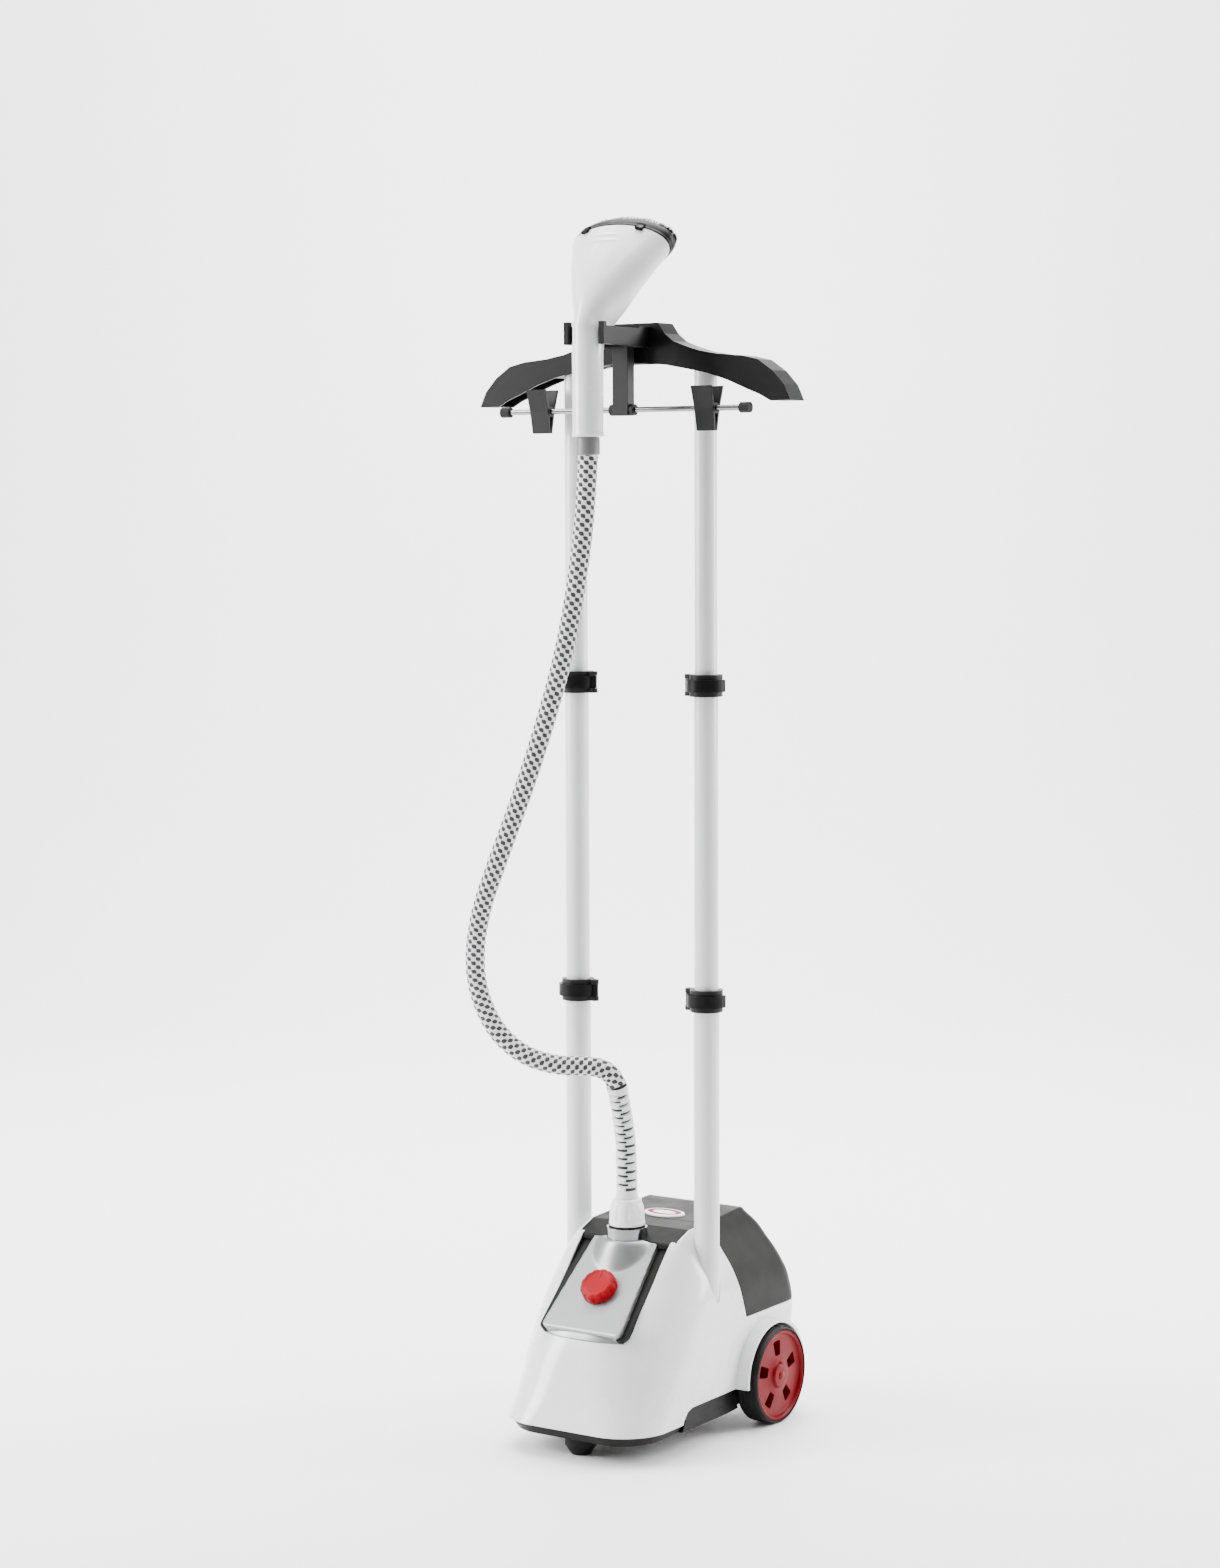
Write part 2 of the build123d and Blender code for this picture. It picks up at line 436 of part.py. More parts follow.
head = loft(head_sections([0.0] * 5))
head_in = loft(head_sections([5.0, 4.0, 3.5, 4.5, 9.0]))
handle = rod_z(0, WAND_Y, WAND_Z0, WAND_NECK_Z, WAND_R) + rod_z(0, WAND_Y, WAND_Z0, WAND_Z0 + 5, 19.4)
bore = rod_z(0, WAND_Y, WAND_Z0 - 5, WAND_NECK_Z + 0.5, 12.2)
wand = handle + head - head_in - bore
wand = max(wand.solids(), key=lambda s: s.volume)
rim_plane = Plane(origin=C, x_dir=(1, 0, 0), z_dir=N)
plate_plane = Plane(origin=C - N * 4.0, x_dir=(1, 0, 0), z_dir=N)
plate = extrude(plate_plane * Ellipse(65.5, 27.5), amount=4.0)
for k in range(-3, 4):
    for s in (-1, 1):
        plate = plate - extrude(Plane(origin=C - N * 5.0, x_dir=(1, 0, 0), z_dir=N) * (Pos(k * 15.0, s * 9.0) * Circle(2.0)), amount=8)
wand = wand - extrude(Plane(origin=C - N * 4.0, x_dir=(1, 0, 0), z_dir=N) * Ellipse(65.5, 27.5), amount=8.0)
save(max(wand.solids(), key=lambda s: s.volume), "wand_shell")
save(plate, "steam_plate")
sleeve = rod_z(0, WAND_Y, 1227, 1262, 12.2)
save(sleeve, "hose_sleeve")
inner_tube = rod_z(0, WAND_Y, 1262, 1384, 5.0)
save(inner_tube, "wand_steam_tube")

pad = loft([Plane(origin=C + N * 0.5, x_dir=(1, 0, 0), z_dir=N) * Ellipse(70.5, 32.0),
            Plane(origin=C + N * 15.0, x_dir=(1, 0, 0), z_dir=N) * Ellipse(70.5, 32.0),
            Plane(origin=C + N * 19.0, x_dir=(1, 0, 0), z_dir=N) * Ellipse(67.5, 29.0)], ruled=True)
pad = pad - extrude(Plane(origin=C - N * 1.0, x_dir=(1, 0, 0), z_dir=N) * Ellipse(50.0, 11.0), amount=30)
save(pad, "brush_frame")
tufts = []
for k in range(18):
    a = 2 * math.pi * (k + 0.5) / 18
    p = Plane(origin=C + N * 19.0, x_dir=(1, 0, 0), z_dir=N)
    tufts.append(extrude(p * (Pos(61.0 * math.cos(a), 23.0 * math.sin(a)) * Circle(1.6)), amount=8.0))
save(group(*tufts), "brush_bristles")

# -------------------------------------------------------------- steam hose
nut = Pos(0, SOCKET_Y, 266.8 + 17) * Cone(22.5, 19.5, 34) - rod_z(0, SOCKET_Y, 260, 310, 10.0)
save(nut, "hose_nut")


def corner_radii(points):
    pts = [Vector(*p) for p in points]
    out = []
    for i in range(1, len(pts) - 1):
        a, b = pts[i] - pts[i - 1], pts[i + 1] - pts[i]
        turn = math.radians(a.get_angle(b))
        out.append(0.45 * min(a.length, b.length) / math.tan(turn / 2))
    return out


def cord(points, r, name):
    radii = corner_radii(points)
    path = FilletPolyline(*points, radius=radii)
    d = (Vector(*points[1]) - Vector(*points[0])).normalized()
    s = sweep(Plane(origin=points[0], z_dir=d) * Circle(r), path=path)
    length = sum(e.length for e in path.edges())
    print(name, "radii", [round(x) for x in radii], "length", round(length, 1), "volume ratio",
          round(s.volume / (math.pi * r * r * length), 4))
    save(s, name)
    return length


GUARD = [(0, SOCKET_Y, 300.8), (0, SOCKET_Y, 345), (0, -53, 395), (0, -70, 446)]
cord(GUARD, 13.6, "hose_guard")
a, b = Vector(*HOSE[HOSE_SPLIT]), Vector(*HOSE[HOSE_SPLIT + 1])
mid = (a + b) * 0.5
mid = (mid.X, mid.Y, mid.Z)
total = cord(HOSE[: HOSE_SPLIT + 1] + [mid], HOSE_D / 2, "hose_lower")
total += cord([mid] + HOSE[HOSE_SPLIT + 1:], HOSE_D / 2, "hose_upper")
print("hose length", round(total, 1))
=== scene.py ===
import bpy, bmesh, math
from mathutils import Vector, Matrix, noise
import json


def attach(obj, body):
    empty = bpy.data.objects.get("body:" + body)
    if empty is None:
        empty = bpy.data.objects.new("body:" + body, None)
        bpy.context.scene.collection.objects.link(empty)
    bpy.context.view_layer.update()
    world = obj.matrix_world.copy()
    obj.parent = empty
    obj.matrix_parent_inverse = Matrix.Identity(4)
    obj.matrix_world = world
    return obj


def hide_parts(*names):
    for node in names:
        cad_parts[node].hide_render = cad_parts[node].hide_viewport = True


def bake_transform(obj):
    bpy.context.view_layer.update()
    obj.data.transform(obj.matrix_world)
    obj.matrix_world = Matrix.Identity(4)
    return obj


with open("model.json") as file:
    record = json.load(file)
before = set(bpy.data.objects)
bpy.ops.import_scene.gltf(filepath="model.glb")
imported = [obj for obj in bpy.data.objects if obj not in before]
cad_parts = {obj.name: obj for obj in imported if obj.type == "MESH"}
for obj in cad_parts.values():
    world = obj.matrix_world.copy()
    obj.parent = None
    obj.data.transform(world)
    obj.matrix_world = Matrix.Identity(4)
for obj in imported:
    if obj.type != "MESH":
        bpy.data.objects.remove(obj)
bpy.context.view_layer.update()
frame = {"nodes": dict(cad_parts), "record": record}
NODES = frame["nodes"]
MM = 0.001

# ------------------------------------------------------------------ camera
RO = -0.00386
fw = Vector((-0.55105, 0.83031, -0.08329)).normalized()
az = math.radians(33.571)
rt = Vector((math.cos(az), math.sin(az), 0.0))
up = rt.cross(fw)
r2 = rt * math.cos(RO) + up * math.sin(RO)
u2 = -rt * math.sin(RO) + up * math.cos(RO)
cam_data = bpy.data.cameras.new("camera")
cam_data.lens = 76.20
cam_data.sensor_width = 36.0
cam_data.sensor_fit = "AUTO"
cam_data.clip_start = 0.05
cam_data.clip_end = 60.0
cam = bpy.data.objects.new("camera", cam_data)
bpy.context.scene.collection.objects.link(cam)
m = Matrix.Identity(4)
for i in range(3):
    m[i][0], m[i][1], m[i][2] = r2[i], u2[i], -fw[i]
m.translation = Vector((2.25363, -3.47865, 1.16481))
cam.matrix_world = m
bpy.context.scene.camera = cam


# ----------------------------------------------------------------- helpers
def link(obj):
    bpy.context.scene.collection.objects.link(obj)
    return obj


def mesh_object(name, verts, faces, smooth=True):
    me = bpy.data.meshes.new(name)
    me.from_pydata([tuple(v) for v in verts], [], faces)
    me.update()
    for p in me.polygons:
        p.use_smooth = smooth
    return link(bpy.data.objects.new(name, me))


def clean(obj, angle=40.0, merge=1e-6):
    bm = bmesh.new()
    bm.from_mesh(obj.data)
    bmesh.ops.remove_doubles(bm, verts=bm.verts, dist=merge)
    bmesh.ops.recalc_face_normals(bm, faces=bm.faces)
    lim = math.radians(angle)
    for f in bm.faces:
        f.smooth = True
    for e in bm.edges:
        e.smooth = len(e.link_faces) == 2 and e.calc_face_angle(0.0) < lim
    bm.to_mesh(obj.data)
    bm.free()
    return obj


def apply_all(obj):
    deps = bpy.context.evaluated_depsgraph_get()
    me = bpy.data.meshes.new_from_object(obj.evaluated_get(deps), preserve_all_data_layers=True, depsgraph=deps)
    obj.modifiers.clear()
    old = obj.data
    obj.data = me
    if old.users == 0:
        bpy.data.meshes.remove(old)
    return obj


def boolean(obj, other, op="DIFFERENCE", keep=False):
    mod = obj.modifiers.new("b", "BOOLEAN")
    mod.operation = op
    mod.object = other
    try:
        mod.solver = "MANIFOLD"
    except TypeError:
        mod.solver = "EXACT"
    bpy.context.view_layer.update()
    apply_all(obj)
    if not keep:
        bpy.data.objects.remove(other)
    return obj


def finish_piece(obj, body, mat, replaces=()):
    obj.data.materials.clear()
    obj.data.materials.append(mat)
    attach(obj, body)
    if replaces:
        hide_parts(*replaces)
    return obj


def cyl(name, p0, p1, r, n=64, r1=None):
    """closed tube solid between two points, used for cutting"""
    p0, p1 = Vector(p0), Vector(p1)
    d = (p1 - p0).normalized()
    a = d.orthogonal().normalized()
    b = d.cross(a)
    r1 = r if r1 is None else r1
    vs = []
    for p, q in ((p0, r), (p1, r1)):
        for k in range(n):
            t = 2 * math.pi * k / n
            vs.append(p + a * (q * math.cos(t)) + b * (q * math.sin(t)))
    fs = [(k, (k + 1) % n, n + (k + 1) % n, n + k) for k in range(n)]
    fs.append(tuple(reversed(range(n))))
    fs.append(tuple(range(n, 2 * n)))
    return mesh_object(name, vs, fs)


def prism(name, points, axis, a0, a1):
    """closed prism of a polygon: axis x takes (y, z) points, y takes (x, z), z takes (x, y)"""
    n = len(points)
    vs = []
    for a in (a0, a1):
        for p, q in points:
            vs.append({"x": (a, p, q), "y": (p, a, q), "z": (p, q, a)}[axis])
    fs = [tuple(range(n)), tuple(reversed(range(n, 2 * n)))]
    fs += [(k, n + k, n + (k + 1) % n, (k + 1) % n) for k in range(n)]
    o = mesh_object(name, vs, fs, smooth=False)
    bm = bmesh.new()
    bm.from_mesh(o.data)
    bmesh.ops.recalc_face_normals(bm, faces=bm.faces)
    bm.to_mesh(o.data)
    bm.free()
    return o


def revolve(name, profile, origin, direction, n=96, close=True):
    """solid of revolution: profile is a list of (radius, height) from bottom to top"""
    o, d = Vector(origin), Vector(direction).normalized()
    a = d.orthogonal().normalized()
    b = d.cross(a)
    vs, fs = [], []
    for r, h in profile:
        for k in range(n):
            t = 2 * math.pi * k / n
            vs.append(o + d * h + a * (r * math.cos(t)) + b * (r * math.sin(t)))
    for i in range(len(profile) - 1):
        for k in range(n):
            k1 = (k + 1) % n
            fs.append((i * n + k, i * n + k1, (i + 1) * n + k1, (i + 1) * n + k))
    if close == "ring":
        i = len(profile) - 1
        for k in range(n):
            k1 = (k + 1) % n
            fs.append((i * n + k, i * n + k1, k1, k))
    elif close:
        fs.append(tuple(reversed(range(n))))
        fs.append(tuple(range((len(profile) - 1) * n, len(profile) * n)))
    return clean(mesh_object(name, vs, fs), 38)


# --------------------------------------------------------------- materials
def material(name, color, rough=0.4, metal=0.0, grain=900.0, bump=0.05, blotch=6.0, vary=0.04, rvary=0.08,
             coat=0.0, coat_rough=0.1, spec=0.5, edge=0.0006, sheen=0.0, alpha=None, trans=0.0, aniso=0.0, ior=1.5):
    mat = bpy.data.materials.new(name)
    mat.use_nodes = True
    nt = mat.node_tree
    N, L = nt.nodes, nt.links
    N.clear()
    out = N.new("ShaderNodeOutputMaterial")
    bs = N.new("ShaderNodeBsdfPrincipled")
    L.new(bs.outputs[0], out.inputs[0])
    tc = N.new("ShaderNodeTexCoord")
    big = N.new("ShaderNodeTexNoise"); big.inputs["Scale"].default_value = blotch; big.inputs["Detail"].default_value = 3.0
    small = N.new("ShaderNodeTexNoise"); small.inputs["Scale"].default_value = grain; small.inputs["Detail"].default_value = 2.0
    L.new(tc.outputs["Object"], big.inputs["Vector"]); L.new(tc.outputs["Object"], small.inputs["Vector"])
    ramp = N.new("ShaderNodeMapRange")
    ramp.inputs["From Min"].default_value = 0.3; ramp.inputs["From Max"].default_value = 0.7
    ramp.inputs["To Min"].default_value = 0.0; ramp.inputs["To Max"].default_value = 1.0
    L.new(big.outputs["Fac"], ramp.inputs["Value"])
    mix = N.new("ShaderNodeMix"); mix.data_type = "RGBA"
    lo = [max(0.0, c * (1 - vary)) for c in color]; hi = [min(1.0, c * (1 + vary)) for c in color]
    mix.inputs[6].default_value = (*lo, 1); mix.inputs[7].default_value = (*hi, 1)
    L.new(ramp.outputs[0], mix.inputs[0])
    L.new(mix.outputs[2], bs.inputs["Base Color"])
    rr = N.new("ShaderNodeMapRange")
    rr.inputs["From Min"].default_value = 0.3; rr.inputs["From Max"].default_value = 0.7
    rr.inputs["To Min"].default_value = max(0.02, rough * (1 - rvary)); rr.inputs["To Max"].default_value = min(1.0, rough * (1 + rvary))
    mid = N.new("ShaderNodeTexNoise"); mid.inputs["Scale"].default_value = blotch * 6; mid.inputs["Detail"].default_value = 4.0
    L.new(tc.outputs["Object"], mid.inputs["Vector"])
    L.new(mid.outputs["Fac"], rr.inputs["Value"]); L.new(rr.outputs[0], bs.inputs["Roughness"])
    bp = N.new("ShaderNodeBump"); bp.inputs["Strength"].default_value = bump; bp.inputs["Distance"].default_value = 0.0004
    L.new(small.outputs["Fac"], bp.inputs["Height"])
    if edge:
        bv = N.new("ShaderNodeBevel"); bv.samples = 4; bv.inputs["Radius"].default_value = edge
        L.new(bv.outputs[0], bp.inputs["Normal"])
    L.new(bp.outputs[0], bs.inputs["Normal"])
    bs.inputs["Metallic"].default_value = metal
    bs.inputs["Specular IOR Level"].default_value = spec
    bs.inputs["IOR"].default_value = ior
    bs.inputs["Coat Weight"].default_value = coat
    bs.inputs["Coat Roughness"].default_value = coat_rough
    bs.inputs["Sheen Weight"].default_value = sheen
    bs.inputs["Transmission Weight"].default_value = trans
    bs.inputs["Anisotropic"].default_value = aniso
    mat["bsdf"] = bs.name
    return mat


M = {
    "shell_white": material("shell_white", (0.70, 0.705, 0.71), 0.30, bump=0.015, grain=500, blotch=5, vary=0.012, rvary=0.15, coat=0.35, coat_rough=0.12),
    "panel_silver": material("panel_silver", (0.27, 0.273, 0.278), 0.38, metal=0.7, grain=2600, bump=0.05, vary=0.03, rvary=0.1),
    "charcoal": material("charcoal", (0.008, 0.008, 0.0075), 0.48, grain=1500, bump=0.06, vary=0.08, rvary=0.12, spec=0.10, edge=0.0016),
    "chassis_black": material("chassis_black", (0.0022, 0.0022, 0.0022), 0.42, grain=1400, bump=0.10, vary=0.12, spec=0.14),
    "hanger_black": material("hanger_black", (0.0028, 0.0028, 0.0029), 0.36, grain=1500, bump=0.07, vary=0.10, spec=0.12, edge=0.0016),
    "clip_grey": material("clip_grey", (0.010, 0.010, 0.0105), 0.42, grain=1500, bump=0.07, vary=0.08, spec=0.15, edge=0.0012),
    "pole_white": material("pole_white", (0.62, 0.625, 0.63), 0.30, grain=1500, bump=0.02, vary=0.012, coat=0.25, coat_rough=0.15),
    "chrome": material("chrome", (0.22, 0.22, 0.226), 0.14, metal=1.0, grain=1200, bump=0.004, vary=0.02, rvary=0.3),
    "steel": material("steel", (0.55, 0.55, 0.56), 0.30, metal=1.0, grain=1500, bump=0.03, vary=0.05, rvary=0.2),
    "aluminium_cast": material("aluminium_cast", (0.56, 0.56, 0.57), 0.48, metal=1.0, grain=600, bump=0.25, vary=0.06),
    "red_knob": material("red_knob", (0.27, 0.0006, 0.0060), 0.42, grain=1500, bump=0.03, vary=0.04, spec=0.10),
    "red_hub": material("red_hub", (0.135, 0.0004, 0.0034), 0.34, grain=900, bump=0.02, vary=0.05, spec=0.09),
    "tyre_black": material("tyre_black", (0.004, 0.004, 0.004), 0.60, grain=1200, bump=0.15, vary=0.15, spec=0.2),
    "rubber_black": material("rubber_black", (0.003, 0.003, 0.003), 0.58, grain=1200, bump=0.12, vary=0.12, spec=0.18),
    "sleeve_grey": material("sleeve_grey", (0.13, 0.13, 0.13), 0.42, grain=1500, bump=0.06, vary=0.06),
    "white_trim": material("white_trim", (0.79, 0.795, 0.80), 0.34, grain=1200, bump=0.03, vary=0.015, coat=0.2),
    "silicone": material("silicone", (0.70, 0.69, 0.66), 0.45, grain=900, bump=0.03, vary=0.04),
    "bristle_black": material("bristle_black", (0.0022, 0.0022, 0.0022), 0.60, grain=1200, bump=0.05, vary=0.2, spec=0.06),
}


def fabric(name):
    """white woven sleeve with black dots in diagonal rows; reads the u (around) and v (along) of the sleeve"""
    mat = bpy.data.materials.new(name)
    mat.use_nodes = True
    nt = mat.node_tree
    N, L = nt.nodes, nt.links
    bs = N["Principled BSDF"]
    uv = N.new("ShaderNodeUVMap"); uv.uv_map = "sleeve"
    sep = N.new("ShaderNodeSeparateXYZ"); L.new(uv.outputs[0], sep.inputs[0])

    def mth(op, a, b=None, clamp=False):
        n = N.new("ShaderNodeMath"); n.operation = op; n.use_clamp = clamp
        for i, v in enumerate((a, b)):
            if v is None:
                continue
            if isinstance(v, (int, float)):
                n.inputs[i].default_value = v
            else:
                L.new(v, n.inputs[i])
        return n.outputs[0]

    U, V = sep.outputs[0], sep.outputs[1]
    # U runs 0..DOTS around; rows are skewed so dots line up along two diagonals
    row = mth("FLOOR", V)
    shift = mth("MULTIPLY", mth("MODULO", row, 2.0), 0.5)
    cu = mth("SUBTRACT", mth("FRACT", mth("ADD", U, shift)), 0.5)
    cv = mth("SUBTRACT", mth("FRACT", V), 0.5)
    # a dot is a short slanted stitch
    su = mth("ADD", cu, mth("MULTIPLY", cv, 0.12))
    d = mth("ADD", mth("POWER", mth("ABSOLUTE", mth("DIVIDE", su, 0.26)), 2.4), mth("POWER", mth("ABSOLUTE", mth("DIVIDE", cv, 0.56)), 2.4))
    wob = N.new("ShaderNodeTexNoise"); wob.inputs["Scale"].default_value = 420.0
    tc = N.new("ShaderNodeTexCoord"); L.new(tc.outputs["Object"], wob.inputs["Vector"])
    edge = mth("ADD", d, mth("MULTIPLY", mth("SUBTRACT", wob.outputs["Fac"], 0.5), 0.9))
    mask = N.new("ShaderNodeMapRange")
    mask.inputs["From Min"].default_value = 0.8; mask.inputs["From Max"].default_value = 1.25
    mask.inputs["To Min"].default_value = 1.0; mask.inputs["To Max"].default_value = 0.0
    L.new(edge, mask.inputs["Value"])
    # threads: fine two-way weave
    wa = mth("SINE", mth("MULTIPLY", mth("ADD", mth("MULTIPLY", U, 8.0), mth("MULTIPLY", V, 3.0)), 2 * math.pi))
    wb = mth("SINE", mth("MULTIPLY", mth("SUBTRACT", mth("MULTIPLY", U, 8.0), mth("MULTIPLY", V, 3.0)), 2 * math.pi))
    weave = mth("MULTIPLY", wa, wb)
    white = N.new("ShaderNodeMix"); white.data_type = "RGBA"
    white.inputs[6].default_value = (0.66, 0.66, 0.655, 1); white.inputs[7].default_value = (0.83, 0.83, 0.825, 1)
    L.new(mth("ADD", mth("MULTIPLY", weave, 0.5), 0.5), white.inputs[0])
    mix = N.new("ShaderNodeMix"); mix.data_type = "RGBA"
    L.new(mask.outputs[0], mix.inputs[0]); L.new(white.outputs[2], mix.inputs[6])
    mix.inputs[7].default_value = (0.016, 0.016, 0.018, 1)
    L.new(mix.outputs[2], bs.inputs["Base Color"])
    rough = N.new("ShaderNodeMapRange"); rough.inputs["To Min"].default_value = 0.68; rough.inputs["To Max"].default_value = 0.86
    L.new(wob.outputs["Fac"], rough.inputs["Value"]); L.new(rough.outputs[0], bs.inputs["Roughness"])
    bp = N.new("ShaderNodeBump"); bp.inputs["Strength"].default_value = 0.5; bp.inputs["Distance"].default_value = 0.0005
    L.new(mth("ADD", weave, mth("MULTIPLY", mask.outputs[0], 0.8)), bp.inputs["Height"])
    L.new(bp.outputs[0], bs.inputs["Normal"])
    bs.inputs["Sheen Weight"].default_value = 0.15
    bs.inputs["Sheen Roughness"].default_value = 0.5
    return mat


M["hose_fabric"] = fabric("hose_fabric")

# -------------------------------------------------------------------- hose
HOSE = [(0, -70, 446), (-3, -72, 456), (-10, -77, 465), (-21, -84, 470), (-37, -95, 472), (-61, -113, 472),
        (-99, -135, 485), (-135, -149, 520), (-158, -154, 580), (-153, -152, 654), (-122, -150, 731),
        (-89, -142, 816), (-59, -136, 903), (-33, -131, 991), (-15, -129, 1082), (-4, -128, 1162), (0, -128, 1227)]
HOSE_R = 0.012


def spline_points(points, res=24):
    """points read from the NURBS spline whose control points are the route"""
    cu = bpy.data.curves.new("route", "CURVE")
    cu.dimensions = "3D"
    sp = cu.splines.new("NURBS")
    sp.points.add(len(points) - 1)
    for p, q in zip(sp.points, points):
        p.co = (q[0] * MM, q[1] * MM, q[2] * MM, 1.0)
    sp.order_u = 3
    sp.use_endpoint_u = True
    cu.resolution_u = res
    ob = link(bpy.data.objects.new("route", cu))
    bpy.context.view_layer.update()
    me = bpy.data.meshes.new_from_object(ob)
    pts = [v.co.copy() for v in me.vertices]
    bpy.data.meshes.remove(me)
    bpy.data.objects.remove(ob)
    out = [pts[0]]
    for p in pts[1:]:
        if (p - out[-1]).length > 1e-5:
            out.append(p)
    return out


def resample(pts, step):
    total = sum((b - a).length for a, b in zip(pts, pts[1:]))
    n = max(2, round(total / step))
    out, want, run, i = [pts[0].copy()], total / n, 0.0, 0
    target = want
    for a, b in zip(pts, pts[1:]):
        d = (b - a).length
        while run + d >= target - 1e-9 and len(out) < n:
            out.append(a.lerp(b, (target - run) / d))
            target += want
        run += d
    out.append(pts[-1].copy())
    return out, total


def frames_along(pts, ref=Vector((0, 0, 1))):
    """rotation-minimising frames"""
    tans = []
    for i in range(len(pts)):
        a, b = pts[max(i - 1, 0)], pts[min(i + 1, len(pts) - 1)]
        tans.append((b - a).normalized())
    n = (ref - tans[0] * ref.dot(tans[0]))
    if n.length < 1e-3:
        n = tans[0].orthogonal()
    n.normalize()
    out = []
    for i, t in enumerate(tans):
        if i:
            n = n - t * n.dot(t)
            n.normalize()
        out.append((t, n.copy(), t.cross(n)))
    return out


DOTS = 6          # dots round the sleeve
PITCH = 0.00535   # rows along the sleeve


def sleeve(name, pts, fr, s0, r, n=72, uv=True):
    vs, fs, uvs = [], [], []
    run = s0
    runs = []
    for i, p in enumerate(pts):
        if i:
            run += (p - pts[i - 1]).length
        runs.append(run)
        t, a, b = fr[i]
        for k in range(n):
            w = 2 * math.pi * k / n
            vs.append(p + (a * math.cos(w) + b * math.sin(w)) * r)
    for i in range(len(pts) - 1):
        for k in range(n):
            k1 = (k + 1) % n
            fs.append((i * n + k, i * n + k1, (i + 1) * n + k1, (i + 1) * n + k))
            u0, u1 = DOTS * k / n, DOTS * (k + 1) / n
            v0, v1 = runs[i] / PITCH, runs[i + 1] / PITCH
            uvs.append(((u0, v0), (u1, v0), (u1, v1), (u0, v1)))
    ob = mesh_object(name, vs, fs)
    if uv:
        layer = ob.data.uv_layers.new(name="sleeve")
        for poly, q in zip(ob.data.polygons, uvs):
            for li, c in zip(poly.loop_indices, q):
                layer.data[li].uv = c
    return ob


raw = spline_points(HOSE)
pts, hose_len = resample(raw, 0.0030)
fr = frames_along(pts, Vector((0.55, -0.83, 0)))
split = min(range(len(pts)), key=lambda i: abs(pts[i].z - 0.7735) if pts[i].z > 0.6 else 9)
low, high = pts[:split + 1], pts[split:]
len_low = sum((b - a).length for a, b in zip(low, low[1:]))
hose_a = sleeve("hose_sleeve_lower", low, fr[:split + 1], 0.0, HOSE_R)
hose_b = sleeve("hose_sleeve_upper", high, fr[split:], len_low, HOSE_R)
for o in (hose_a, hose_b):
    o.data.materials.append(M["hose_fabric"])
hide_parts("hose_lower")
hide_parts("hose_upper")
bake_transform(hose_a)
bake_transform(hose_b)
print("HOSE LENGTH", hose_len, len_low)

# ------------------------------------------------------- bend guard and nut
GUARD = [(0, -48, 300.8), (0, -48, 345), (0, -53, 395), (0, -70, 446)]
gp, glen = resample(spline_points(GUARD), 0.0005)
gf = frames_along(gp, Vector((0, -1, 0)))
NG = 96
gv, gfc, gmat = [], [], []
VIEW = math.atan2(-0.83031, 0.55105)
for i, p in enumerate(gp):
    s = i / (len(gp) - 1) * glen
    t, a, b = gf[i]
    lip = 0.0
    if s < 0.004:
        lip = 0.0008
    if s > glen - 0.006:
        lip = 0.0006
    for k in range(NG):
        w = 2 * math.pi * k / NG
        r = 0.0136 + lip - 0.0009 * (s / glen)
        # slots: half rings, alternate rows turned by a quarter
        z = (s - 0.010) / 0.0112
        if 0 <= z < 11.6:
            row = z * 2
            ri = int(row)
            fz = abs(row - ri - 0.5) * 2
            turn = (ri % 2) * math.pi / 2 + math.pi / 4 + 0.58
            d = (w - turn) % math.pi
            d = min(d, math.pi - d)
            half = math.radians(50)
            depth = 1.0 if fz < 0.60 else max(0.0, 1 - (fz - 0.60) / 0.12)
            side = 1.0 if d < half else max(0.0, 1 - (d - half) / 0.14)
            r -= 0.0030 * depth * side
        gv.append(p + (a * math.cos(w) + b * math.sin(w)) * r)
for i in range(len(gp) - 1):
    for k in range(NG):
        k1 = (k + 1) % NG
        gfc.append((i * NG + k, i * NG + k1, (i + 1) * NG + k1, (i + 1) * NG + k))
last = (len(gp) - 1) * NG
# turned-in mouth at the top
t, a, b = gf[-1]
base_i = len(gv)
for rr_, dz in ((0.0130, 0.0004), (0.0122, 0.0), (0.0121, -0.004)):
    for k in range(NG):
        w = 2 * math.pi * k / NG
        gv.append(gp[-1] + t * dz + (a * math.cos(w) + b * math.sin(w)) * rr_)
prev = last
for j in range(3):
    cur = base_i + j * NG
    for k in range(NG):
        k1 = (k + 1) % NG
        gfc.append((prev + k, prev + k1, cur + k1, cur + k))
    prev = cur
guard = mesh_object("bend_guard", gv, gfc)
M["guard_white"] = material("guard_white", (0.68, 0.685, 0.69), 0.36, grain=1200, bump=0.03, vary=0.015, coat=0.15, edge=0)
# painted shade: the near-black slot material darkens the slot floors in place of the shadow inside the openings
M["slot_dark"] = material("slot_dark", (0.006, 0.006, 0.006), 0.6, grain=1200, bump=0.02, vary=0.1, edge=0)
finish_piece(guard, "base", M["guard_white"], ["hose_guard"])
guard.data.materials.append(M["slot_dark"])
# faces deeper than 2.1 mm inside a slot get the painted shade material
for poly in guard.data.polygons:
    i0 = poly.vertices[0] // NG
    if i0 < len(gp) - 1:
        c = poly.center
        s_i = gp[min(i0, len(gp) - 1)].lerp(gp[min(i0 + 1, len(gp) - 1)], 0.5)
        if (c - s_i).length < 0.0136 - 0.0009 * (i0 / (len(gp) - 1)) - 0.0021:
            poly.material_index = 1

nut_profile = [(0.0100, 0.0), (0.0205, 0.0), (0.0222, 0.0008), (0.0226, 0.0022), (0.0226, 0.0050), (0.0221, 0.0060), (0.0220, 0.012),
               (0.0216, 0.019), (0.0206, 0.0245), (0.0193, 0.0278), (0.0184, 0.0290), (0.0184, 0.0325), (0.0172, 0.0336), (0.0150, 0.0340), (0.0100, 0.0340)]


